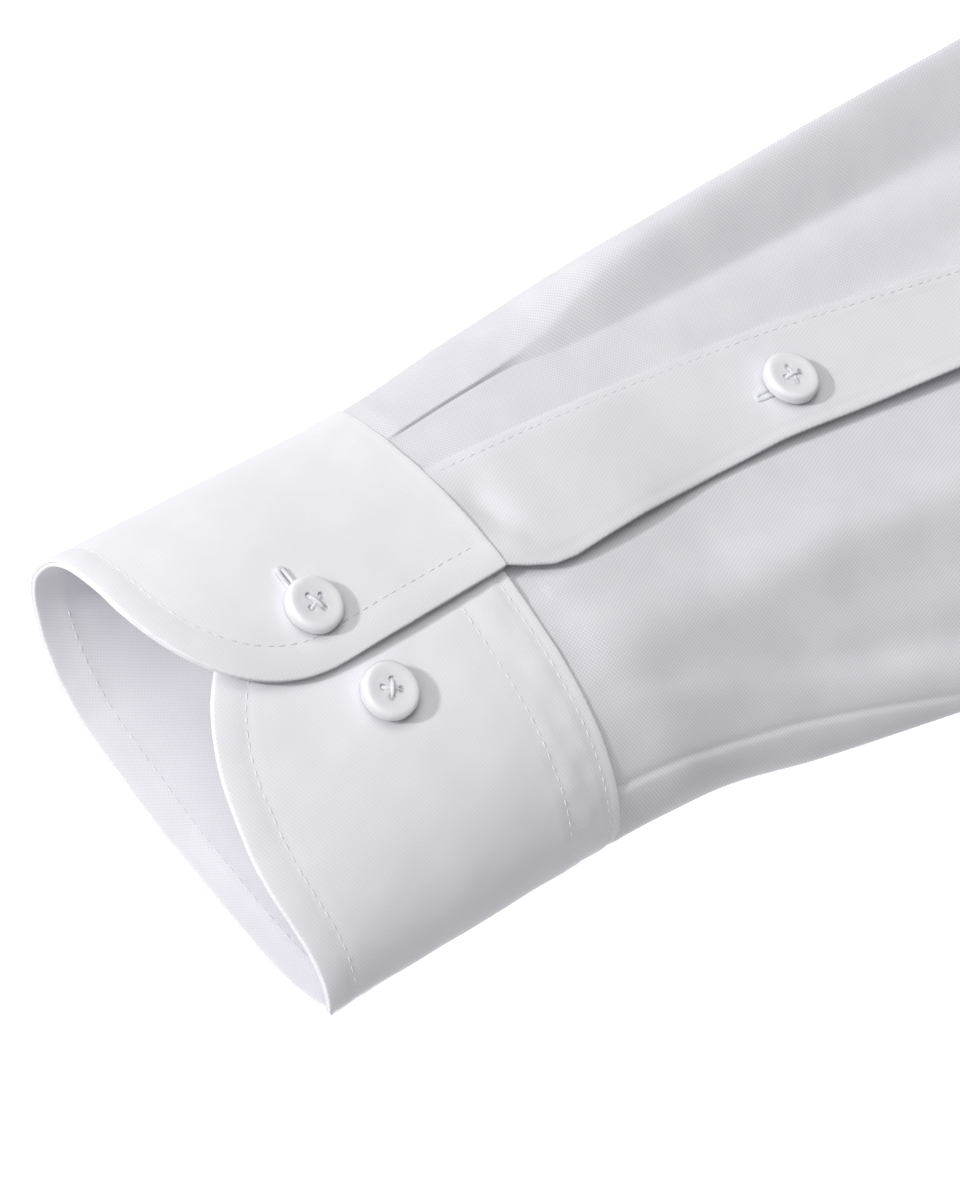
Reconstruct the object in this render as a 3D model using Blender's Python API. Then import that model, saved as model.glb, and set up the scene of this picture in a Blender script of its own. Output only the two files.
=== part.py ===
"""Long sleeve dress shirt, laid out flat and face up, with both cuffs buttoned.

Metres, +Z up.  The shirt rests on z = 0, the collar points to +Y and the wearer's left
side is at +X.  Each sleeve is worked out in a frame of its own: "along" runs from the
cuff mouth to the shoulder, "across" from the sleeve's outer fold to the fold nearest the
body, and the height is counted up from the table.
"""
import math
from collections import namedtuple

import bmesh
import bpy
from mathutils import Vector

MM = 0.001
CLOTH = 1.0 * MM             # wall of one ply of shirting
STIFF = 1.5 * MM             # wall of an interlined band: cuff, collar, placket
GAP = 0.35 * MM              # kept between two pieces that touch
ARMHOLE_GAP = 1.0 * MM       # the same at the curved armhole seam

# ---- body, metres -------------------------------------------------------------------
HEM_Y = -0.400               # middle of the shirt-tail hem
HEM_RISE = 0.070             # how far the hem climbs to the side seams
SIDE_SHARE = 0.6             # part of a panel's outer edge that is side seam
SIDE_HALF = ((-0.330, 0.284), (-0.080, 0.270), (0.085, 0.285))   # y, half width
NECK_MIDDLE_Y = 0.345        # widest place of the oval neck
NECK_HALF = 0.078            # half its width
NECK_FRONT_DEPTH = 0.061
NECK_BACK_DEPTH = 0.041
NECK_SIDE_ANGLE = math.radians(34)      # where the shoulder line meets the oval
SHOULDER = (0.230, 0.335)    # outer end of the shoulder
UNDERARM = (0.285, 0.085)
ARMHOLE_TOP_PULL = (0.212, 0.235)
ARMHOLE_LOW_PULL = (0.232, 0.112)
YOKE_NECK_SHARE = 0.76       # of the front neckline, centre to shoulder, left to the fronts
YOKE_SEAM_Y = 0.262          # seam between the yoke and the back
YOKE_FRONT_DROP = 0.024      # how far the yoke comes over to the front
BODY_EDGE_TOP = 2.6 * MM     # top of the fronts at the side seams
BODY_SWELL = 3.0 * MM        # how much higher the fronts lie in the middle
BAND_WIDTH = 0.034           # front placket
BAND_STEP = 1.9 * MM         # placket's top above the fronts

# ---- sleeve, millimetres in the sleeve's frame ----------------------------------------
SLEEVE_DROP = math.radians(32)      # slope of the sleeve below the shoulder line
SLEEVE_END = (620.0, -108.0)        # along, across of the shoulder point
CUFF_DEPTH = 72.0
CORNER_RADIUS = 32.0                # rounded cuff corners
BUTTON_END = 0.715                  # where the cuff's lower ply starts, share of the width
BUTTONHOLE_END = (0.49, 0.53)       # where its upper ply stops, at the mouth and at the seam
LIFT_START = 0.93                   # the upper ply leaves the lower one from here on
LIFT_SLOPE = 14.0                   # millimetres over the full width
LIFT_CURVE = (13.0, 0.0)            # extra, at the mouth and at the seam
OUT_POWER, IN_POWER, UNDER_POWER = 2.4, 1.7, 1.7
DIP_AT, DIP_WIDTH = 0.24, 0.15
FLAT_SHARE = 0.22                   # part of the underside that lies on the table

# One row for each ring of the sleeve.  along and across are given at both folds, then the
# fold heights, the crest and where it is, the lowest place, a dip beside the outer fold,
# the gauntlet's stitched side and free edge (across), its lift, and the pleat's step.
Ring = namedtuple("Ring", "name along_out along_in out into out_fold in_fold crest peak "
                          "low dip stitched free lift step")
RINGS = (
    Ring("mouth", 0, 0, -46, 52, 23, 20, 45.0, .70, .65, 11, 27, 2, 5.5, 0),
    Ring("seam", CUFF_DEPTH, CUFF_DEPTH, -46.5, 52.5, 21, 15.5, 36.5, .38, .55, 0, 28, 6, 5.0, 2.6),
    Ring("wrist", 84, 84, -45.5, 55, 16, 13, 33.0, .42, .55, 0, 27.5, 8, 4.4, 2.6),
    Ring("kink", 98, 98, -45.5, 57, 11, 11, 29.0, .45, .55, 0, 27, 6.5, 4.2, 2.2),
    Ring("flare", 120, 120, -50, 58.5, 8, 9, 24.5, .48, .55, 0, 26, 5.5, 3.8, 1.6),
    Ring("button", 152, 152, -57.5, 60, 6.5, 7.5, 20.0, .50, .52, 0, 23.5, 5, 3.6, 0.8),
    Ring("slit top", 200, 196, -67, 61.5, 5.5, 6, 15.5, .50, .50, 0, 17, 0, 3.0, 0),
    Ring("gauntlet top", 245, 236, -74, 63.5, 5, 5, 12.5, .50, .50, 0, 11, -9, 1.9, 0),
    Ring("forearm", 300, 270, -81.5, 65, 4.2, 4.2, 10.5, .50, .50, 0, 4, 4, 0, 0),
    Ring("elbow", 390, 320, -92, 68, 3.5, 3.5, 8.5, .50, .50, 0, -5, -5, 0, 0),
    Ring("upper arm", 490, 372, -101, 71.5, 2.8, 2.8, 7.0, .50, .50, 0, -14, -14, 0, 0),
    Ring("armhole", 620, 441, -108, 75, 2.4, 2.4, 5.4, .50, .50, 0, -22, -22, 0, 0),
)
SEAM, SLIT_TOP, GAUNTLET_TOP, LAST = 1, 6, 7, len(RINGS) - 1
SLIT_HALF = 0.4                     # half the width of the cut under the gauntlet
PLEAT_AT = (0.935, 0.86)            # share of the width at the cuff, and where it runs out
POINT_SHARE = 0.22                  # how far the gauntlet's shoulders lie below its point
GAUNTLET_LAP = 4.0                  # how far the gauntlet lies over the cut's edge
BUTTON_SPOTS = (                    # name, along, across, does the button sit on the upper ply
    ("cuff_button_end", 31.0, 16.4, True),
    ("cuff_button_second", 39.5, -3.4, False),
)
GAUNTLET_BUTTON = (152.5, 13.8)     # along, across

# ---- collar, metres -------------------------------------------------------------------
STAND_FRONT_HEIGHT = 0.026
STAND_BACK_HEIGHT = 0.040
STAND_LEAN = 0.22            # outward run for each unit of height
LEAF_BACK = 0.036            # leaf, from the fold to its edge, at the back
LEAF_POINT = 0.074           # and at the points
LEAF_START = 0.034           # share of the neck between the centre front and each point
LEAF_SPREAD = math.radians(30)      # how far the points turn outwards
LEAF_LIE = (math.radians(12), math.radians(62))    # off the upright, behind and in front
STAND_LAP = 0.032            # share of the neck by which the buttoned ends lap
STAND_INSET = 0.7 * MM
LAP_STEP = 2.2 * MM
OFF_BAND = 0.062             # share of the neck by which the seam has left the placket
BACK_FROM = 0.358            # past this it drops to the back yoke
COLLAR_COLUMNS = 33

# ---- buttons, metres ------------------------------------------------------------------
BUTTON_RADIUS = 5.6 * MM
BUTTON_THICK = 2.6 * MM
BUTTON_SIDES = 16
HOLE_RADIUS = 0.75 * MM
HOLE_OFFSET = 1.25 * MM
FRONT_BUTTONS = 6
FRONT_BUTTON_TOP_Y = 0.212
FRONT_BUTTON_PITCH = 0.092

WHITE_COTTON = (0.80, 0.80, 0.83, 1.0)
PEARL_WHITE = (0.78, 0.78, 0.80, 1.0)


def material(name, colour, roughness):
    """A Principled material of one colour."""
    made = bpy.data.materials.new(name)
    made.use_nodes = True
    shader = made.node_tree.nodes["Principled BSDF"]
    shader.inputs["Base Color"].default_value = colour
    shader.inputs["Roughness"].default_value = roughness
    shader.inputs["Metallic"].default_value = 0.0
    return made


def add_object(name, mesh, slot):
    mesh.materials.append(slot)
    made = bpy.data.objects.new(name, mesh)
    bpy.context.collection.objects.link(made)
    return made


def mirrored(rows):
    """The same grid for the wearer's right side, with its faces still outwards."""
    return [[Vector((-p.x, p.y, p.z)) for p in reversed(row)] for row in rows]


def walled(name, shape, slot, thickness):
    """Outer faces made a closed cloth wall that grows inwards."""
    mesh = bpy.data.meshes.new(name)
    shape.to_mesh(mesh)
    shape.free()
    wall = add_object(name, mesh, slot).modifiers.new("wall", "SOLIDIFY")
    wall.thickness = thickness
    wall.offset = -1.0
    wall.use_even_offset = True
    wall.use_quality_normals = True


def sheet(name, rows, slot, thickness):
    """A grid of outer points made a cloth wall.  Columns that meet are welded."""
    shape = bmesh.new()
    grid = [[shape.verts.new(point) for point in row] for row in rows]
    for low, high in zip(grid, grid[1:]):
        for a, b, c, d in zip(low, low[1:], high[1:], high):
            shape.faces.new((a, b, c, d))
    bmesh.ops.remove_doubles(shape, verts=shape.verts[:], dist=0.02 * MM)
    walled(name, shape, slot, thickness)


# ---- plan of the body -----------------------------------------------------------------

def mix(a, b, share):
    return a + (b - a) * share


def steps(count):
    return [i / (count - 1) for i in range(count)]


def bezier(share, *pulls):
    """A curve from the first to the last of four plan points."""
    rest = 1 - share
    weights = (rest ** 3, 3 * rest * rest * share, 3 * rest * share * share, share ** 3)
    return Vector([sum(w * p[axis] for w, p in zip(weights, pulls)) for axis in (0, 1)])


def armhole(share):
    """The armhole seam in plan, from the shoulder to the underarm."""
    return bezier(share, SHOULDER, ARMHOLE_TOP_PULL, ARMHOLE_LOW_PULL, UNDERARM)


def armhole_share_at(y):
    """How far down the armhole the height y in plan lies."""
    low, high = 0.0, 1.0
    for _ in range(30):
        middle = (low + high) / 2
        if armhole(middle).y > y:
            low = middle
        else:
            high = middle
    return low


def side_half(y):
    """Half the body's width between hem and underarm, on a parabola through three places."""
    total = 0.0
    for i, (yi, wi) in enumerate(SIDE_HALF):
        share = wi
        for j, (yj, _) in enumerate(SIDE_HALF):
            if j != i:
                share *= (y - yj) / (yi - yj)
        total += share
    return total


def hem_y(x):
    half = SIDE_HALF[0][1]
    return HEM_Y + HEM_RISE * (abs(x) / half) ** 2.6


def body_top(x):
    """Height of the fronts' upper face."""
    share = min(1.0, abs(x) / UNDERARM[0])
    return BODY_EDGE_TOP + BODY_SWELL * (1 - share ** 4)


def side_line(share):
    """Side seam, hem to underarm."""
    y = mix(SIDE_HALF[0][0], UNDERARM[1], share)
    return Vector((side_half(y), y))


def outer_line(share, armhole_end):
    """Side seam and then the armhole, up to armhole_end on it."""
    if share < SIDE_SHARE:
        return side_line(share / SIDE_SHARE)
    return armhole(mix(1.0, armhole_end, (share - SIDE_SHARE) / (1 - SIDE_SHARE)))


def body_rows():
    """Row shares of a body panel: few up the side seam, more round the armhole."""
    side = [SIDE_SHARE * s for s in steps(6)]
    return side + [mix(SIDE_SHARE, 1.0, s) for s in steps(11)[1:]]


def coons(bottom, top, left, right, rows, columns):
    """A grid between four edge curves of plan points."""
    grid = []
    for v in rows:
        line = []
        for u in steps(columns):
            along = bottom(u) * (1 - v) + top(u) * v
            across = left(v) * (1 - u) + right(v) * u
            corners = (bottom(0) * (1 - u) + bottom(1) * u) * (1 - v)
            corners += (top(0) * (1 - u) + top(1) * u) * v
            line.append(along + across - corners)
        grid.append(line)
    return grid


def neck_spot(angle):
    """The neck seam in plan: an oval, deeper in front than behind."""
    depth = NECK_BACK_DEPTH if math.sin(angle) > 0 else NECK_FRONT_DEPTH
    return Vector((NECK_HALF * math.cos(angle), NECK_MIDDLE_Y + depth * math.sin(angle)))


def front_neck(share):
    """Front neckline, centre front to the shoulder."""
    return neck_spot(mix(-math.pi / 2, NECK_SIDE_ANGLE, share))


# ---- body pieces ----------------------------------------------------------------------

def build_back(slot):
    """Back panel, from the hem up to the yoke seam, flat on the table."""
    top_y = YOKE_SEAM_Y - GAP
    end = armhole_share_at(top_y)
    half_hem, half_top = side_line(0).x, armhole(end).x
    rows = coons(lambda u: Vector((mix(-half_hem, half_hem, u), hem_y(mix(-half_hem, half_hem, u)))),
                 lambda u: Vector((mix(-half_top, half_top, u), top_y)),
                 lambda v: outer_line(v, end) * Vector((-1, 1)),
                 lambda v: outer_line(v, end), body_rows(), 9)
    sheet("back", [[Vector((p.x, p.y, CLOTH)) for p in line] for line in rows], slot, CLOTH)


def build_fronts(slot):
    """The two fronts, each from the centre to the side seam, meeting under the placket."""
    neck_part = 0.42
    seam_gap = Vector((0.0, -2 * GAP))
    front_end = armhole_share_at(SHOULDER[1] - YOKE_FRONT_DROP + seam_gap.y)
    seam_start = front_neck(YOKE_NECK_SHARE) + seam_gap
    seam_end = armhole(front_end)

    def bottom(u):
        x = mix(0.0, side_line(0).x, u)
        return Vector((x, hem_y(x)))

    def top(u):
        if u < neck_part:
            return front_neck(YOKE_NECK_SHARE * u / neck_part) + seam_gap
        return seam_start.lerp(seam_end, (u - neck_part) / (1 - neck_part))

    def centre(v):
        return Vector((0.0, mix(HEM_Y, front_neck(0).y + seam_gap.y, v)))

    plan = coons(bottom, top, centre, lambda v: outer_line(v, front_end), body_rows(), 7)
    rows = [[Vector((max(p.x, GAP), p.y, body_top(p.x))) for p in line] for line in plan]
    sheet("front_left", rows, slot, CLOTH)
    sheet("front_right", mirrored(rows), slot, CLOTH)


def yoke_neck_column(share):
    """One line of the yoke below the neck, centre back towards the shoulder."""
    x = share * front_neck(1).x
    top_y = NECK_MIDDLE_Y + NECK_BACK_DEPTH * math.sqrt(1 - (x / NECK_HALF) ** 2)
    return [Vector((x, mix(YOKE_SEAM_Y, top_y, t), 0.0)) for t in (0, 0.5, 1)]


def yoke_side_column(place, seam_end, front_end):
    """One line up the back, over the shoulder and down to the yoke's front seam."""
    neck = front_neck(1)
    ridge = neck.lerp(Vector(SHOULDER), place)
    foot = Vector((armhole(seam_end).x * mix(neck.x / SHOULDER[0], 1.0, place), YOKE_SEAM_Y))
    back_mid = foot.lerp(ridge, 0.5) if place < 1.0 else armhole(seam_end / 2)
    front_mid = front_neck(mix(1.0, YOKE_NECK_SHARE, 0.5)).lerp(armhole(front_end / 2), place)
    front_low = front_neck(YOKE_NECK_SHARE).lerp(armhole(front_end), place)
    radius = body_top(ridge.x) / 2
    turned = ridge.y - radius
    line = [Vector((foot.x, foot.y, 0)), Vector((back_mid.x, back_mid.y, 0))]
    for turn in (0, 30, 60, 90, 120, 150, 180):
        angle = math.radians(turn)
        line.append(Vector((ridge.x, turned + radius * math.sin(angle),
                            radius - radius * math.cos(angle))))
    line.append(Vector((front_mid.x, front_mid.y, body_top(front_mid.x))))
    line.append(Vector((front_low.x, front_low.y, body_top(front_low.x))))
    return line


def build_yoke(slot):
    """Yoke: across the back, over the shoulders and a little way down the fronts."""
    seam_end = armhole_share_at(YOKE_SEAM_Y)
    front_end = armhole_share_at(SHOULDER[1] - YOKE_FRONT_DROP)
    half = [yoke_neck_column(i / 5) for i in range(1, 5)]
    half += [yoke_side_column(place, seam_end, front_end) for place in steps(6)]
    for point in half[-1]:
        point.x -= 3 * GAP
    other = [[Vector((-p.x, p.y, p.z)) for p in line] for line in reversed(half)]
    shape = bmesh.new()
    rows = []
    for line in other + [yoke_neck_column(0.0)] + half:
        rows.append([shape.verts.new(point) for point in line])
    for left, right in zip(rows, rows[1:]):
        for k in range(min(len(left), len(right)) - 1):
            shape.faces.new((left[k], left[k + 1], right[k + 1], right[k]))
    walled("yoke", shape, slot, CLOTH)


def build_placket(slot):
    """Front placket: the folded band down the wearer's left front, over the right one."""
    half = BAND_WIDTH / 2
    rows = []
    for share in steps(9):
        y = mix(HEM_Y + 0.0005, front_neck(0).y - 0.001, share)
        rows.append([Vector((x, y, body_top(x) + BAND_STEP)) for x in (-half, 0.0, half)])
    sheet("front_placket", rows, slot, STIFF)


# ---- sleeve ---------------------------------------------------------------------------

def ring_at(place):
    """The ring at a place counted in rows; between rows every column is mixed."""
    row = min(int(place), LAST - 1)
    share = place - row
    low, high = RINGS[row], RINGS[row + 1]
    values = [mix(a, b, share) for a, b in zip(low[1:], high[1:])]
    return Ring("between", *values)


def height(ring, share, upper):
    """Height of the sleeve's upper or lower wall at a share of its width."""
    fold = mix(ring.out_fold, ring.in_fold, share)
    middle = ring.peak if upper else ring.low
    reach = middle if share < middle else 1 - middle
    off = min(1.0, abs(share - middle) / reach)
    if upper:
        power = OUT_POWER if share < middle else IN_POWER
        dip = ring.dip * math.exp(-((share - DIP_AT) / DIP_WIDTH) ** 2 / 2)
        return fold + (ring.crest - fold) * (1 - off ** power) ** (1 / power) - dip
    off = max(0.0, off - FLAT_SHARE) / (1 - FLAT_SHARE)
    return fold * (1 - (1 - off ** UNDER_POWER) ** (1 / UNDER_POWER))


def pleat_step(ring, place, share):
    """Extra height between the pleat's edge and the inner fold."""
    edge = mix(PLEAT_AT[0], PLEAT_AT[1], min(1.0, (place - SEAM) / 4))
    rise = min(1.0, max(0.0, (share - edge) * (ring.into - ring.out) / 1.6))
    fade = min(1.0, (1 - share) / (1 - edge) * 1.5)
    return ring.step * rise * fade


def upper_lift(ring, place, share):
    """How far the cuff's or the sleeve's upper ply stands off the lower one."""
    reach = max(0.0, LIFT_START - share)
    curve = mix(LIFT_CURVE[0], LIFT_CURVE[1], min(1.0, place))
    closing = max(0.0, 1 - max(0.0, place - SEAM) / (SLIT_TOP - SEAM))
    return (LIFT_SLOPE * reach + curve * reach * reach) * closing


def share_of(ring, across):
    return (across - ring.out) / (ring.into - ring.out)


def sleeve_point(ring, share, z):
    """A point of the sleeve's own frame, in millimetres."""
    return Vector((mix(ring.along_out, ring.along_in, share), mix(ring.out, ring.into, share), z))


def to_body(point):
    """From the left sleeve's frame, in millimetres, to the shirt's, in metres."""
    along_dir = Vector((-math.cos(SLEEVE_DROP), math.sin(SLEEVE_DROP)))
    across_dir = Vector((-math.sin(SLEEVE_DROP), -math.cos(SLEEVE_DROP)))
    flat = Vector(SHOULDER)
    flat += along_dir * ((point.x - SLEEVE_END[0]) * MM)
    flat += across_dir * ((point.y - SLEEVE_END[1]) * MM)
    return Vector((flat.x, flat.y, point.z * MM))


def evenly(line, shares):
    """Points at the given shares of a polyline's length."""
    reach = [0.0]
    for a, b in zip(line, line[1:]):
        reach.append(reach[-1] + (b - a).length)
    points = []
    index = 0
    for share in shares:
        want = share * reach[-1]
        while index < len(line) - 2 and reach[index + 1] < want:
            index += 1
        span = reach[index + 1] - reach[index]
        points.append(line[index].lerp(line[index + 1], (want - reach[index]) / span))
    return points


def around(ring, place, start, end):
    """Three fine lines round the sleeve: lower ply to outer fold, underside, upper ply."""
    fine = 60
    swing = [(1 - math.cos(math.pi * i / fine)) / 2 for i in range(fine + 1)]
    lower, under, upper = [], [], []
    for part in swing:
        share = start * (1 - part)
        lower.append(sleeve_point(ring, share, height(ring, share, True)))
        under.append(sleeve_point(ring, part, height(ring, part, False)))
        share = 1 - (1 - end) * part
        z = height(ring, share, True) + upper_lift(ring, place, share)
        z += pleat_step(ring, place, share) if place > SEAM else 0.0
        upper.append(sleeve_point(ring, share, z))
    return lower, under, upper


def length_of(line):
    return sum((b - a).length for a, b in zip(line, line[1:]))


def build_cuff(side, slot):
    """Cuff: one stiff band round the wrist, its rounded ends lapped and buttoned."""
    depths = (0.0, 0.28, 0.62, 1.0)
    bend = [CORNER_RADIUS * (1 - math.cos(math.radians(a))) for a in (0, 15, 30, 45, 60, 75)]
    cuts = [CORNER_RADIUS * (1 - math.sin(math.radians(a))) for a in (0, 15, 30, 45, 60, 75)]
    grid = []
    for depth in depths:
        end = mix(BUTTONHOLE_END[0], BUTTONHOLE_END[1], depth)
        lower, under, upper = around(ring_at(depth), depth, BUTTON_END, end)
        low, high = length_of(lower), length_of(upper)
        first = [run / low for run in bend]
        first += [mix(CORNER_RADIUS / low, 1.0, s) for s in steps(7)]
        last = [mix(0.0, 1 - CORNER_RADIUS / high, s) for s in steps(6)]
        last += [1 - run / high for run in reversed(bend)]
        grid.append(evenly(lower, first) + evenly(under, steps(16))[1:] + evenly(upper, last)[1:])
    cuts = cuts + [0.0] * (len(grid[0]) - 2 * len(cuts)) + cuts[::-1]
    rows = []
    for level in steps(5):
        row = []
        for k, cut in enumerate(cuts):
            depth = mix(cut / CUFF_DEPTH, 1.0, level)
            index = max(i for i, d in enumerate(depths[:-1]) if d <= depth + 1e-9)
            part = (depth - depths[index]) / (depths[index + 1] - depths[index])
            row.append(to_body(grid[index][k].lerp(grid[index + 1][k], part)))
        rows.append(row)
    if side == "right":
        rows = mirrored(rows)
    sheet("cuff_" + side, rows, slot, STIFF)


def seam_normal(share):
    """Across the armhole seam in plan, towards the sleeve."""
    run = armhole(min(1.0, share + 0.01)) - armhole(max(0.0, share - 0.01))
    return Vector((-run.y, run.x)).normalized()


def sleeve_rows(places):
    """Outer points of the left sleeve, row by row, from the cuff seam to the armhole."""
    rows = []
    for place in places:
        ring = ring_at(place)
        share = share_of(ring, ring.stitched)
        cut = SLIT_HALF / (ring.into - ring.out) if place < SLIT_TOP else 0.0
        lower, under, upper = around(ring, place, share - cut, share + cut)
        line = evenly(lower, steps(10)) + evenly(under, steps(14))[1:] + evenly(upper, steps(12))[1:]
        reach = max(0.0, place - (LAST - 1)) ** 2
        points = []
        for k, point in enumerate(to_body(p) for p in line):
            spot = line_share(ring, point)
            seam = armhole(spot) + seam_normal(spot) * ARMHOLE_GAP
            pull = (seam - Vector(SHOULDER).lerp(Vector(UNDERARM), spot)) * reach
            if k <= 9 or k >= 22:
                swell = min(1.0, 12 * spot * (1 - spot))
                point.z = mix(point.z, mix(point.z, body_top(seam.x), swell), reach)
            points.append(point + Vector((pull.x, pull.y, 0)))
        rows.append(points)
    return rows


def line_share(ring, point):
    """Share of the ring's width at a point already in the shirt's frame."""
    out = to_body(sleeve_point(ring, 0.0, 0.0))
    into = to_body(sleeve_point(ring, 1.0, 0.0))
    run = (into - out).to_2d()
    return max(0.0, min(1.0, (point - out).to_2d().dot(run) / run.length_squared))


def build_sleeve(side, slot):
    """Sleeve: a tube of cloth from the cuff to the armhole, cut open under the gauntlet."""
    rows = sleeve_rows([SEAM + 0.045, 2, 3, 4, 5, SLIT_TOP, 7, 8, 9, 10, 10.6, LAST])
    if side == "right":
        rows = mirrored(rows)
    sheet("sleeve_" + side, rows, slot, CLOTH)


def gauntlet_height(ring, place, share):
    """Top of the gauntlet: close over the sleeve where it is stitched, standing off at its edge."""
    stitched = share_of(ring, ring.stitched)
    free = share_of(ring, ring.free)
    lapped = share_of(ring, ring.stitched + GAUNTLET_LAP)
    close = (STIFF + GAP) / MM
    base = height(ring, share, True) + pleat_step(ring, place, share)
    if share > stitched:
        return base + upper_lift(ring, place, share) + close
    start = upper_lift(ring, place, stitched) + close
    reach = (stitched - share) / max(1e-6, stitched - free)
    return base + mix(start, max(ring.lift, close), min(1.0, reach)) if lapped > free else base


def build_gauntlet(side, slot):
    """Gauntlet: the sleeve's upper placket, a stiff strip with a pointed end."""
    rows = []
    for place in (SEAM + 0.045, 2, 3, 4, 5, 5.5, SLIT_TOP, GAUNTLET_TOP - 0.5, GAUNTLET_TOP):
        row = []
        for part in steps(7):
            spot = place - POINT_SHARE * abs(2 * part - 1) if place == GAUNTLET_TOP else place
            ring = ring_at(spot)
            share = share_of(ring, mix(ring.stitched + GAUNTLET_LAP, ring.free, part))
            row.append(to_body(sleeve_point(ring, share, gauntlet_height(ring, spot, share))))
        rows.append(row)
    if side == "right":
        rows = mirrored(rows)
    sheet("gauntlet_" + side, rows, slot, STIFF)


# ---- collar ---------------------------------------------------------------------------

def collar_base(turn):
    """The neck seam in plan, from the centre front (0) round the back (0.5) and on (1)."""
    return neck_spot(math.tau * turn - math.pi / 2)


def collar_out(turn):
    """Outwards from the neck in plan."""
    ahead = collar_base(turn + 0.004) - collar_base(turn - 0.004)
    return Vector((ahead.y, -ahead.x)).normalized()


def at_back(turn):
    """0 at the centre front, 1 at the centre back."""
    return math.sin(math.pi * turn) ** 2


def stand_height(turn):
    return mix(STAND_FRONT_HEIGHT, STAND_BACK_HEIGHT, at_back(turn))


def collar_floor(turn):
    """Height of the neck seam: on the placket, on the fronts, and on the yoke behind."""
    from_front = min(abs(turn), abs(1 - turn))
    on_band = min(1.0, max(0.0, (OFF_BAND - from_front) / 0.012))
    behind = min(1.0, max(0.0, (from_front - BACK_FROM) / 0.025))
    return mix(body_top(0) + BAND_STEP * on_band, CLOTH, behind) + GAP


def stand_lap(turn):
    """The end on the wearer's left lies over the other, so it stands further out."""
    return LAP_STEP * min(1.0, max(0.0, (0.055 - turn) / 0.045))


def stand_spot(turn, up):
    """A place on the stand's outer face."""
    flat = collar_base(turn) + collar_out(turn) * (up * STAND_LEAN - STAND_INSET + stand_lap(turn))
    return Vector((flat.x, flat.y, collar_floor(turn) + up))


def build_stand(slot):
    """Collar stand: a stiff band round the neck, its ends lapped at the centre front."""
    rows = []
    for level in (0.0, 0.5, 1.0):
        turns = [mix(-STAND_LAP, 1.0, s) for s in steps(COLLAR_COLUMNS)]
        rows.append([stand_spot(turn, stand_height(turn) * level) for turn in turns])
    sheet("collar_stand", rows, slot, STIFF)


def build_leaf(slot):
    """Collar leaf: folded down outside the stand, with a point each side of the front."""
    runs = (0.0, 0.10, 0.35, 0.68, 1.0)
    turns = [mix(LEAF_START, 1 - LEAF_START, s) for s in steps(COLLAR_COLUMNS)]
    rows = []
    for turn in turns:
        front = (1 - at_back(turn)) ** 2.2
        side = 1.0 if turn < 0.5 else -1.0
        out = collar_out(turn)
        spread = Vector((side * math.sin(LEAF_SPREAD), -math.cos(LEAF_SPREAD)))
        away = out.lerp(spread, front ** 3).normalized()
        top = stand_spot(turn, stand_height(turn))
        crown = top.z + GAP + STIFF + 1.2 * MM
        lie = mix(LEAF_LIE[0], LEAF_LIE[1], front)
        drop = mix(LEAF_BACK, LEAF_POINT, front)
        row = [Vector((top.x - out.x * MM, top.y - out.y * MM, crown - 0.9 * MM)),
               Vector((top.x + out.x * MM, top.y + out.y * MM, crown))]
        for run in runs:
            flat = top.to_2d() + out * (3.6 * MM) + away * (run * drop * math.sin(lie))
            z = crown - 1.0 * MM - run * drop * math.cos(lie)
            rest = body_top(flat.x) + BAND_STEP + GAP + STIFF if front > 0.02 else STIFF + GAP
            row.append(Vector((flat.x, flat.y, max(z, rest))))
        rows.append(row)
    sheet("collar_leaf", rows, slot, STIFF)


# ---- buttons --------------------------------------------------------------------------

def button_mesh():
    """Four-hole shirt button: a turned disc with a raised rim and a shallow dish."""
    profile = ((0.0, 0.0), (0.82, 0.0), (1.0, 0.28), (1.0, 0.72), (0.86, 1.0), (0.70, 0.86),
               (0.0, 0.78))
    shape = bmesh.new()
    rings = []
    for reach, level in profile:
        z = level * BUTTON_THICK
        if reach == 0.0:
            rings.append([shape.verts.new((0, 0, z))])
            continue
        ring = []
        for k in range(BUTTON_SIDES):
            angle = 2 * math.pi * k / BUTTON_SIDES
            ring.append(shape.verts.new((reach * BUTTON_RADIUS * math.cos(angle),
                                         reach * BUTTON_RADIUS * math.sin(angle), z)))
        rings.append(ring)
    for low, high in zip(rings, rings[1:]):
        for k in range(BUTTON_SIDES):
            n = (k + 1) % BUTTON_SIDES
            if len(low) == 1:
                shape.faces.new((low[0], high[n], high[k]))
            elif len(high) == 1:
                shape.faces.new((low[k], low[n], high[0]))
            else:
                shape.faces.new((low[k], low[n], high[n], high[k]))
    mesh = bpy.data.meshes.new("button")
    shape.to_mesh(mesh)
    shape.free()
    return mesh


def hole_cutter(name):
    """Four thin pins that drill the button."""
    shape = bmesh.new()
    for k in range(4):
        angle = math.pi / 4 + k * math.pi / 2
        made = bmesh.ops.create_cone(shape, cap_ends=True, segments=6, radius1=HOLE_RADIUS,
                                     radius2=HOLE_RADIUS, depth=4 * BUTTON_THICK)
        bmesh.ops.translate(shape, verts=made["verts"],
                            vec=(HOLE_OFFSET * math.cos(angle), HOLE_OFFSET * math.sin(angle), 0))
    mesh = bpy.data.meshes.new(name)
    shape.to_mesh(mesh)
    shape.free()
    made = bpy.data.objects.new(name, mesh)
    bpy.context.collection.objects.link(made)
    made.hide_render = True
    made.display_type = "WIRE"
    return made


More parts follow.
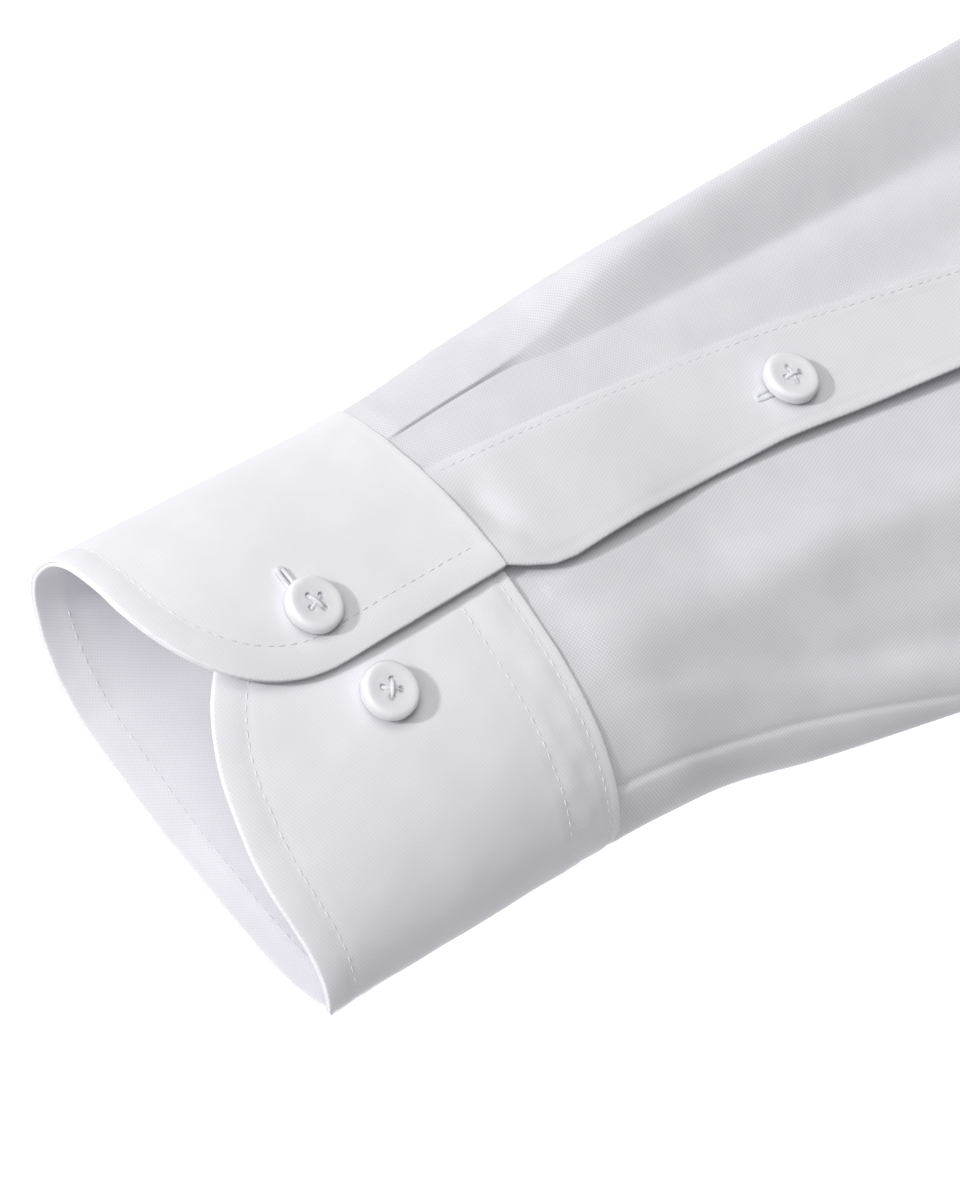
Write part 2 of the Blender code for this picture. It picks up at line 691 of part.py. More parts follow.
def place_button(name, disc, drill, spot, normal, slot):
    """A button of its own mesh, lying on the cloth at spot with its back along the normal."""
    mesh = disc.copy()
    made = add_object(name, mesh, slot)
    made.location = spot + normal * GAP
    made.rotation_mode = "QUATERNION"
    made.rotation_quaternion = normal.to_track_quat("Z", "Y")
    pins = drill.copy()
    pins.name = name + "_holes"
    bpy.context.collection.objects.link(pins)
    pins.parent = made
    holes = made.modifiers.new("holes", "BOOLEAN")
    holes.operation = "DIFFERENCE"
    holes.object = pins


def on_sleeve(along, across, surface):
    """A point and the upward normal of a sleeve surface, in the shirt's frame."""
    def point(a, c):
        row = SEAM - 1
        while row < LAST - 1 and RINGS[row + 1].along_out < a:
            row += 1
        low, high = RINGS[row], RINGS[row + 1]
        place = row + (a - low.along_out) / (high.along_out - low.along_out)
        ring = ring_at(place)
        share = share_of(ring, c)
        return to_body(Vector((a, c, surface(ring, place, share))))
    spot = point(along, across)
    reach = BUTTON_RADIUS / MM
    run = point(along + reach, across) - point(along - reach, across)
    span = point(along, across + reach) - point(along, across - reach)
    corners = [point(along + reach * i, across + reach * j)
               for i, j in ((1, 0), (-1, 0), (0, 1), (0, -1), (0.7, 0.7), (-0.7, -0.7))]
    normal = run.cross(span).normalized()
    clear = max((corner - spot).dot(normal) for corner in corners)
    return spot + normal * max(0.0, clear), normal


def upper_ply(ring, place, share):
    return height(ring, share, True) + upper_lift(ring, place, share)


def lower_ply(ring, place, share):
    return height(ring, share, True)


def build_buttons(slot):
    disc = button_mesh()
    drill = hole_cutter("drill")
    spots = []
    for name, along, across, upper in BUTTON_SPOTS:
        spots.append((name,) + on_sleeve(along, across, upper_ply if upper else lower_ply))
    spots.append(("gauntlet_button",) + on_sleeve(*GAUNTLET_BUTTON, gauntlet_height))
    for name, spot, normal in spots:
        place_button(name + "_left", disc, drill, spot, normal, slot)
        other = Vector((-spot.x, spot.y, spot.z))
        place_button(name + "_right", disc, drill, other, Vector((-normal.x, normal.y, normal.z)), slot)
    top = body_top(0.0) + BAND_STEP
    for k in range(FRONT_BUTTONS):
        y = FRONT_BUTTON_TOP_Y - FRONT_BUTTON_PITCH * k
        place_button(f"front_button_{k + 1}", disc, drill, Vector((0, y, top)), Vector((0, 0, 1)), slot)
    lean = math.atan(STAND_LEAN)
    normal = Vector((0.0, -math.cos(lean), math.sin(-lean))).normalized()
    spot = stand_spot(0.0, STAND_FRONT_HEIGHT / 2)
    place_button("collar_button", disc, drill, spot + normal * GAP, normal, slot)
    bpy.data.objects.remove(drill)


for leftover in list(bpy.data.objects):
    bpy.data.objects.remove(leftover)

cotton = material("white_cotton", WHITE_COTTON, 0.85)
pearl = material("pearl_white", PEARL_WHITE, 0.3)
build_back(cotton)
build_fronts(cotton)
build_yoke(cotton)
build_placket(cotton)
for wearer_side in ("left", "right"):
    build_sleeve(wearer_side, cotton)
    build_gauntlet(wearer_side, cotton)
    build_cuff(wearer_side, cotton)
build_stand(cotton)
build_leaf(cotton)
build_buttons(pearl)
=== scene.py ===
"""A long sleeve dress shirt of white cotton, laid out face up with both cuffs buttoned."""
import math

import bpy
import numpy as np
from mathutils import Matrix, Vector


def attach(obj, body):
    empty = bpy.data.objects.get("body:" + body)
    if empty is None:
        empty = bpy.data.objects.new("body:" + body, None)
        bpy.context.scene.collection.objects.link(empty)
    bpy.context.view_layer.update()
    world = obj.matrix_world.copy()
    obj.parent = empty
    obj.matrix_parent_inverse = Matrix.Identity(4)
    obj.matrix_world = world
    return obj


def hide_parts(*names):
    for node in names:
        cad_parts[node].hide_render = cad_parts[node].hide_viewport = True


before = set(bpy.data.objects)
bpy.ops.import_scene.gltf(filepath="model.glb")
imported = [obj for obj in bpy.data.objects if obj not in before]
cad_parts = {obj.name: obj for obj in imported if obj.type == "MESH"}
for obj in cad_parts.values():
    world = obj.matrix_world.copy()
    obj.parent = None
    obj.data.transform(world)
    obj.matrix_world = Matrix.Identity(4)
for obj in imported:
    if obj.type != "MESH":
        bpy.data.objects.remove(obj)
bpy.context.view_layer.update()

# ---- Table, light and camera ------------------------------------------------------------
# The shirt lies on a plain white table top, lit so brightly that nothing of it shows.  A small
# lamp stands low beyond the cuff's mouth and three broad ones fill in its shadows.
MM = 0.001

# The left sleeve has a frame of its own, in millimetres: along it from the cuff's mouth to
# the shoulder, across it from the outer fold to the fold nearest the body, and up.
SLEEVE_DROP = math.radians(32)
ALONG = np.array([-math.cos(SLEEVE_DROP), math.sin(SLEEVE_DROP), 0.0])
ACROSS = np.array([-math.sin(SLEEVE_DROP), -math.cos(SLEEVE_DROP), 0.0])
UP = np.array([0.0, 0.0, 1.0])
SHOULDER = (0.230, 0.335)
SLEEVE_END = (620.0, -108.0)
SLEEVE_ORIGIN = (np.array([*SHOULDER, 0.0]) - ALONG * SLEEVE_END[0] * MM
                 - ACROSS * SLEEVE_END[1] * MM)


def to_shirt(points):
    """Points of the left sleeve's frame, in millimetres, as the shirt's, in metres."""
    points = np.asarray(points, float) * MM
    return (SLEEVE_ORIGIN + points[..., 0:1] * ALONG + points[..., 1:2] * ACROSS
            + points[..., 2:3] * UP)


def turned(direction):
    """A direction of the sleeve's frame in the shirt's."""
    return Vector(direction[0] * ALONG + direction[1] * ACROSS + direction[2] * UP)


def linear(hex_colour):
    """An sRGB hex colour as linear light."""
    channels = [int(hex_colour[i:i + 2], 16) / 255 for i in (1, 3, 5)]
    return [c / 12.92 if c <= 0.04045 else ((c + 0.055) / 1.055) ** 2.4 for c in channels] + [1.0]


def new_material(name):
    """A new material, its nodes and the shader among them."""
    made = bpy.data.materials.new(name)
    made.use_nodes = True
    return made, made.node_tree, made.node_tree.nodes["Principled BSDF"]


TABLE_SIZE, TABLE_DROP, TABLE_GLOW = 60.0, 0.2 * MM, 1.22        # so wide that no edge shows
bpy.ops.object.select_all(action="DESELECT")
bpy.ops.mesh.primitive_plane_add(size=TABLE_SIZE, location=(0.0, 0.0, -TABLE_DROP))
table_top = bpy.context.object
table_top.name = "table_top"
paint, tree, shader = new_material("matt_white_table")
shader.inputs["Base Color"].default_value = linear("#5A5A5C")
shader.inputs["Roughness"].default_value = 0.95
shader.inputs["Specular IOR Level"].default_value = 0.1
shader.inputs["Emission Color"].default_value = linear("#FFFFFF")
shader.inputs["Emission Strength"].default_value = TABLE_GLOW
table_top.data.materials.append(paint)

room = bpy.data.worlds.new("white_room")
bpy.context.scene.world = room
room.use_nodes = True
sky = room.node_tree.nodes["Background"]
sky.inputs["Color"].default_value = linear("#FAFBFF")
sky.inputs["Strength"].default_value = 0.03


def add_lamp(name, comes_from, height, energy, width):
    """A far lamp: comes_from is along and across the left sleeve, height and width are angles
    in degrees, up from the table and across the lamp."""
    made = bpy.data.objects.new(name, bpy.data.lights.new(name, "SUN"))
    made.data.energy = energy
    made.data.angle = math.radians(width)
    away = np.array(comes_from) / math.hypot(*comes_from) * math.cos(math.radians(height))
    direction = turned((away[0], away[1], math.sin(math.radians(height))))
    made.rotation_euler = direction.to_track_quat("Z", "Y").to_euler()
    bpy.context.collection.objects.link(made)


add_lamp("main_softbox", (-0.90, 0.43), 36, 1.77, 5)
add_lamp("side_softbox", (-0.10, 0.99), 67, 1.05, 40)
add_lamp("mouth_softbox", (-1.0, 0.0), 60, 0.92, 40)
add_lamp("back_card", (0.50, 0.87), 50, 0.28, 40)

CAMERA_LENS, CAMERA_SENSOR = 176.55, 36.0
CAMERA_SPOT = (-426.2, -174.5, 977.6)              # these three in the left sleeve's frame
CAMERA_FORWARD = (0.4556, 0.1658, -0.8746)
CAMERA_UPRIGHT = (0.4370, 0.8143, 0.3820)
camera = bpy.data.objects.new("camera", bpy.data.cameras.new("camera"))
camera.data.lens = CAMERA_LENS
camera.data.sensor_width = CAMERA_SENSOR
camera.data.clip_start = 0.05
camera.data.clip_end = 30.0
camera.location = Vector(to_shirt(CAMERA_SPOT))
forward = turned(CAMERA_FORWARD).normalized()
upright = turned(CAMERA_UPRIGHT).normalized()
aim = Matrix((forward.cross(upright), upright, -forward)).transposed()
camera.rotation_euler = aim.to_euler()
bpy.context.collection.objects.link(camera)
bpy.context.scene.camera = camera
bpy.context.scene.view_settings.view_transform = "Standard"


# ---- White shirting -----------------------------------------------------------------------
# Every cloth piece is white cotton in a fine diagonal twill, bleached with a cool brightener.
# It is matt, with a little fuzz that catches the light at grazing angles.
TWILL_PITCH = 0.6                    # millimetres; the real 0.43 is drawn wider so that it shows
TWILL_ANGLE = math.radians(27)       # between the warp and the diagonal
TWILL_WAVE = 2 * math.pi / (20 * TWILL_PITCH)        # a wave texture's scale for that pitch


def add_node(tree, kind, settings, links=()):
    """A shader node with its settings and what feeds its inputs."""
    node = tree.nodes.new(kind)
    for key, value in settings.items():
        if isinstance(key, int) or key in node.inputs:
            node.inputs[key].default_value = value
        else:
            setattr(node, key, value)
    for key, source in links:
        tree.links.new(source, node.inputs[key])
    return node


def add_cotton(name, low_colour, high_colour, rib_depth):
    """White cotton twill on the weave's own UVs: diagonal ribs with painted shade between them, and
    uneven threads.
    """
    cloth, tree, shader = new_material(name)
    cloth_uv = add_node(tree, "ShaderNodeUVMap", {"uv_map": "weave"})
    diagonal = add_node(tree, "ShaderNodeMapping",
                        {"Rotation": (0, 0, -TWILL_ANGLE), "Scale": (1 / MM, 1 / MM, 1 / MM)},
                        [("Vector", cloth_uv.outputs["UV"])])
    ribs = add_node(tree, "ShaderNodeTexWave",
                    {"wave_type": "BANDS", "bands_direction": "X", "wave_profile": "SIN",
                     "Scale": TWILL_WAVE, "Distortion": 0.5, "Detail": 1.0, "Detail Scale": 1.5},
                    [("Vector", diagonal.outputs["Vector"])])
    floats = add_node(tree, "ShaderNodeTexWave",
                      {"wave_type": "BANDS", "bands_direction": "Y", "wave_profile": "SIN",
                       "Scale": TWILL_WAVE, "Distortion": 1.2, "Detail": 1.0, "Detail Scale": 1.5},
                      [("Vector", diagonal.outputs["Vector"])])
    slubs = add_node(tree, "ShaderNodeTexNoise", {"Scale": 0.8, "Detail": 3.0},
                     [("Vector", diagonal.outputs["Vector"])])
    blotch = add_node(tree, "ShaderNodeTexNoise", {"Scale": 0.09, "Detail": 2.0},
                      [("Vector", diagonal.outputs["Vector"])])
    checked = add_node(tree, "ShaderNodeMath", {"operation": "ADD"},
                       [(0, ribs.outputs["Fac"]), (1, floats.outputs["Fac"])])
    mottled = add_node(tree, "ShaderNodeMath", {"operation": "MULTIPLY_ADD", 1: 0.5, 2: -0.12},
                       [(0, blotch.outputs["Fac"])])
    # The colour's factor: painted shade in the hollows between the twill's ribs, plus the threads'
    # uneven tone.
    rib_shade_and_mottle = add_node(tree, "ShaderNodeMath", {"operation": "MULTIPLY_ADD", 1: 0.37},
                    [(0, checked.outputs[0]), (2, mottled.outputs[0])])
    shade = add_node(tree, "ShaderNodeMix",
                     {"data_type": "RGBA", 6: linear(low_colour), 7: linear(high_colour)},
                     [("Factor", rib_shade_and_mottle.outputs[0])])
    tree.links.new(shade.outputs[2], shader.inputs["Base Color"])
    rib_bump = add_node(tree, "ShaderNodeBump", {"Strength": rib_depth, "Distance": 0.03 * MM},
                        [("Height", checked.outputs[0])])
    slub_bump = add_node(tree, "ShaderNodeBump", {"Strength": 0.28, "Distance": 0.05 * MM},
                         [("Height", slubs.outputs["Fac"]), ("Normal", rib_bump.outputs["Normal"])])
    tree.links.new(slub_bump.outputs["Normal"], shader.inputs["Normal"])
    shader.inputs["Roughness"].default_value = 0.88
    shader.inputs["Sheen Weight"].default_value = 0.05
    shader.inputs["Sheen Roughness"].default_value = 0.45
    shader.inputs["Specular IOR Level"].default_value = 0.25
    return cloth


# Doubled parts, with or without an interlining, are whiter than one ply, which lets light by.
# In each pair the darker colour is the painted shade between the twill's ribs and the darker threads.
doubled_cotton = add_cotton("white_cotton_doubled", "#E4E3E8", "#F0EFF4", 0.16)
single_cotton = add_cotton("white_cotton_one_ply", "#CCCBD2", "#E9E8ED", 0.30)
folded_cotton = add_cotton("white_cotton_folded", "#D6D5DB", "#ECEBF0", 0.20)


def mix(a, b, share):
    """From a at share 0 to b at share 1."""
    return a + (b - a) * share


def smooth(share):
    """0 to 1 with soft ends."""
    share = np.clip(share, 0.0, 1.0)
    return share * share * (3 - 2 * share)


def steps(count):
    """So many even steps from 0 to 1."""
    return np.linspace(0.0, 1.0, count)


def grid_normals(grid):
    """Unit normals of a grid of points, on the side its faces turn to."""
    run = np.gradient(grid, axis=1)
    rise = np.gradient(grid, axis=0)
    normals = np.cross(run, rise)
    return normals / np.maximum(np.linalg.norm(normals, axis=2, keepdims=True), 1e-12)


def run_lengths(grid):
    """Distance along each row and up each column, from the first point."""
    along = np.linalg.norm(np.diff(grid, axis=1), axis=2)
    up = np.linalg.norm(np.diff(grid, axis=0), axis=2)
    u = np.concatenate([np.zeros((len(grid), 1)), np.cumsum(along, axis=1)], axis=1)
    v = np.concatenate([np.zeros((1, grid.shape[1])), np.cumsum(up, axis=0)], axis=0)
    return u, v


def quads(table):
    """Four-sided faces between the numbered points of a grid."""
    return np.stack([table[:-1, :-1], table[:-1, 1:], table[1:, 1:], table[1:, :-1]],
                    axis=2).reshape(-1, 4)


def point_normals(points, faces):
    """Unit normals of points, each the sum of its faces'."""
    face_normals = np.cross(points[faces[:, 2]] - points[faces[:, 0]],
                            points[faces[:, 3]] - points[faces[:, 1]])
    normals = np.zeros(points.shape)
    for k in range(4):
        np.add.at(normals, faces[:, k], face_normals)
    return normals / np.maximum(np.linalg.norm(normals, axis=1, keepdims=True), 1e-18)


def free_edges(faces, corners, count):
    """Both ends of each edge that has cloth on one side only, as points and on the weave."""
    heads, tails = faces.reshape(-1), np.roll(faces, -1, axis=1).reshape(-1)
    ahead = heads.astype(np.int64) * count + tails
    astern = tails.astype(np.int64) * count + heads
    free = ~np.isin(ahead, astern)
    return (heads[free], tails[free], corners.reshape(-1)[free],
            np.roll(corners, -1, axis=1).reshape(-1)[free])


def edge_outward(points, normals, starts, ends):
    """Unit directions, in the cloth, out of its edge at the points on it."""
    outward = np.zeros_like(points)
    along = points[ends] - points[starts]
    along /= np.maximum(np.linalg.norm(along, axis=1, keepdims=True), 1e-12)
    aside = np.cross(along, normals[starts])
    np.add.at(outward, starts, aside)
    np.add.at(outward, ends, aside)
    return outward / np.maximum(np.linalg.norm(outward, axis=1, keepdims=True), 1e-12)


MIRRORED = (-1, 1, 1)        # the left sleeve's points, times this, are the right one's

# A cloth edge's profile, from its outer face to its inner one: out and down, as shares of the
# wall.  A turned edge is two plies with the seam's groove between them.
ROUND_EDGE = ((0.30, 0.10), (0.50, 0.32), (0.50, 0.68), (0.30, 0.90))
TURNED_EDGE = ((0.22, 0.03), (0.38, 0.14), (0.38, 0.30), (0.00, 0.45), (0.00, 0.54),
               (0.38, 0.68), (0.38, 0.86), (0.22, 0.98))


def cloth_piece(name, grid, wall, cloth, edge=ROUND_EDGE, joined_from=None, flip=False,
                kept=None, weave=None):
    """A closed cloth wall from a grid of outer points, its edges rolled.

    From row joined_from on, the last column is the first one again.  kept marks the squares
    that are cloth, and weave gives each point's place on the cloth where the grid's own
    lengths do not.  flip mirrors the piece to the wearer's right."""
    rows, columns = grid.shape[:2]
    count = rows * columns
    points = grid.reshape(-1, 3)
    weave = np.stack(run_lengths(grid) if weave is None else weave, axis=2).reshape(-1, 2)
    own = np.arange(count).reshape(rows, columns)
    index = own.copy()
    if joined_from is not None:
        index[joined_from:, -1] = index[joined_from:, 0]
    faces, corners = quads(index), quads(own)
    if kept is not None:
        faces, corners = faces[kept.reshape(-1)], corners[kept.reshape(-1)]
    normals = point_normals(points, faces)
    starts, ends, start_weave, end_weave = free_edges(faces, corners, count)
    outward = edge_outward(points, normals, starts, ends)

    ring = np.unique(np.concatenate([starts, ends]))
    place = np.full(count, -1)
    place[ring] = np.arange(len(ring))
    vertices = [points, points - normals * wall]
    levels = [(starts, ends)]
    for k, (out, down) in enumerate(edge):
        vertices.append(points[ring] + outward[ring] * out * wall - normals[ring] * down * wall)
        base = 2 * count + k * len(ring)
        levels.append((base + place[starts], base + place[ends]))
    levels.append((starts + count, ends + count))
    all_faces = [faces, faces[:, ::-1] + count]
    all_weave = [corners, corners[:, ::-1]]
    for (a, b), (c, d) in zip(levels, levels[1:]):
        all_faces.append(np.stack([b, a, c, d], axis=1))
        all_weave.append(np.stack([end_weave, start_weave, start_weave, end_weave], axis=1))

    vertices = np.concatenate(vertices)
    all_faces = np.concatenate(all_faces)
    all_weave = np.concatenate(all_weave)
    if flip:
        vertices = vertices * MIRRORED
        all_faces = all_faces[:, ::-1]
        all_weave = all_weave[:, ::-1]
    used = np.unique(all_faces)
    renumber = np.zeros(len(vertices), int)
    renumber[used] = np.arange(len(used))
    return mesh_object(name, vertices[used], renumber[all_faces].tolist(),
                       weave[all_weave.reshape(-1)], cloth)


def mesh_object(name, vertices, faces, weave, finish):
    """An object at the origin from vertices, a list of faces and the weave's place."""
    mesh = bpy.data.meshes.new(name)
    mesh.from_pydata(vertices.tolist(), [], faces)
    mesh.polygons.foreach_set("use_smooth", [True] * len(mesh.polygons))
    if weave is not None:
        layer = mesh.uv_layers.new(name="weave")
        layer.data.foreach_set("uv", np.asarray(weave, dtype=np.float32).reshape(-1))
    mesh.materials.append(finish)
    mesh.update()
    made = bpy.data.objects.new(name, mesh)
    bpy.context.collection.objects.link(made)
    return made


def sewn(piece, *nodes):
    """The piece lies on the one rigid body and stands for its CAD nodes."""
    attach(piece, "root")
    if nodes:
        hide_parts(*nodes)


def crease(x, y, path, width, height, fade=0.25):
    """A soft ridge (or trough, if height is below 0) along a path of points, fading out at
    both ends over a share of its length."""
    path = np.asarray(path, float)
    lengths = np.linalg.norm(np.diff(path, axis=0), axis=1)
    total = lengths.sum()
    best = np.full(np.shape(x), 1e9)
    where = np.zeros(np.shape(x))
    done = 0.0
    for start, end, length in zip(path, path[1:], lengths):
        run = (end - start) / length
        t = np.clip((x - start[0]) * run[0] + (y - start[1]) * run[1], 0, length)
        away = np.hypot(x - start[0] - t * run[0], y - start[1] - t * run[1])
        nearer = away < best
        best = np.where(nearer, away, best)
        where = np.where(nearer, (done + t) / total, where)
        done += length
    ends = smooth(np.minimum(where, 1 - where) / fade)
    return height * ends * np.exp(-(best / width) ** 2)


# ---- Cuffs and sleeves: their rings ---------------------------------------------------------
# A sleeve is a tube of cloth whose girth is taken up by a pleat where it meets the cuff.  It
# lies on its side with the placket up.  One row for each ring, in millimetres: place along
# at both folds, across at both folds, height of both folds, the crest of the upper ply and
# where it is (share of the width), the same of the ply under the lap, the lowest place, a
# dip beside the outer fold, and where the gauntlet is stitched.
RING_NAMES = ("along_out along_in out into out_fold in_fold crest peak lap_crest lap_peak low "
              "dip stitched").split()
RINGS = np.array([
    (1.5, 0, -45.3, 51.8, 20, 21, 43.6, .64, 43.0, .55, .65, 5, 27),        # cuff's mouth
    (72, 72, -43.6, 52.6, 11.5, 15.5, 36.5, .38, 35.4, .46, .55, 0, 28),    # cuff's seam
    (84, 84, -43.6, 53.7, 10.5, 13, 33.6, .42, 33.6, .44, .55, 0, 27.5),    # wrist
    (98, 98, -44.5, 55.5, 9, 11, 30.6, .45, 30.6, .45, .55, 0, 27),         # kink
    (120, 120, -49.2, 57.1, 7.5, 9, 26.4, .48, 26.4, .48, .55, 0, 26),      # flare
    (152, 152, -55.6, 57.5, 6.5, 7.5, 21.6, .50, 21.6, .50, .52, 0, 23.5),  # button
    (200, 196, -65.2, 59.2, 5.5, 6, 16.4, .50, 16.4, .50, .50, 0, 17),      # top of the cut
    (245, 236, -73, 60.6, 5, 5, 13.0, .50, 13.0, .50, .50, 0, 11),          # gauntlet's point
    (300, 270, -81, 62.8, 4.2, 4.2, 10.8, .50, 10.8, .50, .50, 0, 4),       # forearm
    (390, 320, -92, 68, 3.5, 3.5, 8.5, .50, 8.5, .50, .50, 0, -5),          # elbow
    (490, 372, -101, 71.5, 2.8, 2.8, 7.0, .50, 7.0, .50, .50, 0, -14),      # upper arm
    (620, 441, -108, 75, 2.4, 2.4, 5.4, .50, 5.4, .50, .50, 0, -22),        # armhole
])
SEAM, SLIT_TOP, GAUNTLET_TOP, LAST = 1, 6, 7, len(RINGS) - 1

# How a ring is rounded: powers of its curves at the outer fold, the inner one, the same at the
# mouth and under the sleeve, then the outer side where the cuff presses it, and the dip.
OUT_POWER, IN_POWER, MOUTH_IN_POWER, UNDER_POWER = 2.2, 1.7, 2.5, 1.7
PRESSED_DROP, PRESSED_POWER, PRESSED_END = 0.76, 2.8, 16
STIFF_ROWS, STIFF_FADE = 2.5, 1.5        # how many rows up from the mouth the cuff holds
DIP_AT, DIP_WIDTH, DIP_POWER = 0.28, 0.20, 3.0
FLAT_SHARE = 0.22                        # of the underside, that lies flat on the table

# How far the upper ply stands off the lower one, along the sleeve, at its edge and behind it.
LAP_EDGE_LIFT = ((0, 3.0), (16, 1.3), (26, 1.0), (34, 1.1), (48, 1.5), (72, 2.0), (96, 2.0),
                 (130, 1.5), (200, 0.0))
LAP_BOW_LIFT = ((0, 3.2), (40, 2.6), (72, 2.7), (200, 0.0))
LIFT_START, LIFT_END = 0.93, 0.5         # shares of the width
EDGE_IN_BOW, LEAST_BOW = 0.8, 0.2

RING_GAPS = np.diff(RINGS[:, 0])
RING_SLOPES = np.diff(RINGS, axis=0) / RING_GAPS[:, None]
INNER_SLOPES = ((RING_SLOPES[:-1] * RING_GAPS[1:, None] + RING_SLOPES[1:] * RING_GAPS[:-1, None])
                / (RING_GAPS[1:] + RING_GAPS[:-1])[:, None])
SLOPES_IN = np.vstack([RING_SLOPES[:1], INNER_SLOPES, RING_SLOPES[-1:]])
SLOPES_OUT = SLOPES_IN.copy()
SLOPES_IN[SEAM], SLOPES_OUT[SEAM] = RING_SLOPES[SEAM - 1], RING_SLOPES[SEAM]   # the cuff is stiff


def rings_at(place):
    """Every value of the table at places counted in rows, on smooth curves between them."""
    place = np.clip(np.asarray(place, float), 0, LAST)
    row = np.minimum(place.astype(int), LAST - 1)
    t = (place - row)[..., None]
    gap = RING_GAPS[row][..., None]
    values = ((2 * t ** 3 - 3 * t ** 2 + 1) * RINGS[row] + (3 * t ** 2 - 2 * t ** 3) * RINGS[row + 1]
              + (t ** 3 - 2 * t ** 2 + t) * gap * SLOPES_OUT[row]
              + (t ** 3 - t ** 2) * gap * SLOPES_IN[row + 1])
    ring = {name: values[..., k] for k, name in enumerate(RING_NAMES)}
    ring["dip"] = RINGS[0, RING_NAMES.index("dip")] * np.clip(1 - place, 0, 1) ** DIP_POWER
    ring["stiff"] = smooth((STIFF_ROWS - place) / STIFF_FADE)
    ring["mouth"] = smooth(1 - place)
    return ring


def wall_height(ring, share, upper):
    """Height of the upper or lower wall at a share of the width."""
    fold = mix(ring["out_fold"], ring["in_fold"], share)
    middle = ring["peak"] if upper else ring["low"]
    reach = np.where(share < middle, middle, 1 - middle)
    off = np.clip(np.abs(share - middle) / reach, 0, 1)
    if not upper:
        off = np.clip(off - FLAT_SHARE, 0, None) / (1 - FLAT_SHARE)
        return fold * (1 - (1 - off ** UNDER_POWER) ** (1 / UNDER_POWER))
    power = np.where(share < middle, OUT_POWER, mix(IN_POWER, MOUTH_IN_POWER, ring["mouth"]))
    dip = ring["dip"] * np.exp(-((share - DIP_AT) / DIP_WIDTH) ** 2 / 2)
    rounded = (1 - off ** power) ** (1 / power)
    pressed = (1 - PRESSED_DROP * off ** PRESSED_POWER) * (1 - off ** PRESSED_END) ** 0.5
    rounded = mix(rounded, pressed, np.where(share < middle, ring["stiff"], 0.0))
    return fold + (ring["crest"] - fold) * rounded - dip


def lap_height(ring, share):
    """Height of the ply that the cuff's lap and the gauntlet lie on."""
    return wall_height({**ring, "crest": ring["lap_crest"], "peak": ring["lap_peak"]}, share, True)


def read_along(rows, along, column=1):
    """A column of a table of places along the sleeve, read between its rows."""
    table = np.asarray(rows, float)
    return np.interp(along, table[:, 0], table[:, column])


def along_at(ring, share):
    """How far along the sleeve a ring is at a share of its width."""
    return mix(ring["along_out"], ring["along_in"], share)


def upper_height(ring, share):
    """Height of the upper ply's top."""
    return wall_height(ring, share, True) + upper_lift(ring, share)


def upper_lift(ring, share):
    """How far the upper ply stands off the lower one."""
    along = along_at(ring, share)
    edge, near = read_along(LAP_EDGE_LIFT, along), read_along(LAP_BOW_LIFT, along)
    reach = np.clip((LIFT_START - share) / (LIFT_START - LIFT_END), 0, 1)
    bow = np.sin(np.pi * reach) * np.maximum(near - EDGE_IN_BOW * edge, LEAST_BOW)
    return edge * smooth(reach) + bow


def share_of(ring, across):
    """The share of the width that is so far across."""
    return (across - ring["out"]) / (ring["into"] - ring["out"])


def ring_point(ring, share, z):
    """The point of a ring at a share of its width and a height."""
    return np.stack([along_at(ring, share), mix(ring["out"], ring["into"], share), z], axis=-1)


def place_of(along):
    """The place, in rows of the table, that is so far along at the outer fold."""
    return np.interp(along, RINGS[:, 0], np.arange(len(RINGS)))


def each_row(ring):
    """The values of a ring table as a column, to meet a row of shares."""
    return {name: value[:, None] for name, value in ring.items()}


SWING = (1 - np.cos(np.pi * steps(160))) / 2        # shares of a ply, closer at the folds


def around(ring, start, end, counts, closeness=None):
    """Points round the sleeve, row by row: lower ply to the outer fold, underside, and the
    inner fold to the upper ply's end.  Each is evenly spaced, or closer where closeness is
    above 1."""
    ring = each_row(ring)
    share = start[:, None] * (1 - SWING)
    lower = ring_point(ring, share, lap_height(ring, share))
    share = np.broadcast_to(SWING, share.shape)
    under = ring_point(ring, share, wall_height(ring, share, False))
    share = 1 - (1 - end[:, None]) * SWING
    upper = ring_point(ring, share, upper_height(ring, share))
    rows = []
    for lines in zip(lower, under, upper):
        row = []
        for line, count in zip(lines, counts):
            lengths = np.linalg.norm(np.diff(line, axis=0), axis=1)
            if closeness is not None:
                lengths = lengths * closeness(line[1:, 0], line[1:, 1])
            reach = np.concatenate([[0.0], np.cumsum(lengths)])
            want = count(reach[-1]) if callable(count) else steps(count) * reach[-1]
            points = np.stack([np.interp(want, reach, line[:, k]) for k in range(3)], axis=1)
            row.append(points if not row else points[1:])
        rows.append(np.concatenate(row))
    return np.array(rows)


WAVES, WAVE_TURN, WAVE_SHIFT, WAVE_SCALE = 6, 2.399, 1.3, 3.2
SEED_TURN, SEED_SHIFT = 1.7, 5.1


def wander(x, y, size, seed):
    """Smooth unevenness between -1 and 1, without a pattern, at a size in the same unit."""
    total = np.zeros(np.shape(x))
    for k in range(WAVES):
        turn = seed * SEED_TURN + k * WAVE_TURN
        pace = 2 * np.pi / (size * (0.75 + 0.22 * k))
        across = x * math.cos(turn) + y * math.sin(turn)
        total = total + np.sin(across * pace + seed * SEED_SHIFT + k * WAVE_SHIFT)
    return total / WAVE_SCALE


# ---- Sleeves ----------------------------------------------------------------------------------
# Each sleeve is one ply of shirting, felled along its underside seam and set into the
# armhole.  It is cut open for the placket, pleated into the cuff, and lies in soft folds.
SLEEVE_WALL = 0.55
SLIT_HALF = 0.4
SLEEVE_COUNTS = (66, 56, 52)        # points on the lower ply, the underside and the upper ply
SLEEVE_ROWS = ((68.5, 80, 16), (80, 200, 84), (201.8, 270, 38), (276, 620, 56))  # from, to, rows
FOLD_HEIGHT, FOLD_FADE, CUFF_FADE = 4.0, 6.0, 10      # where the troughs and all folds end
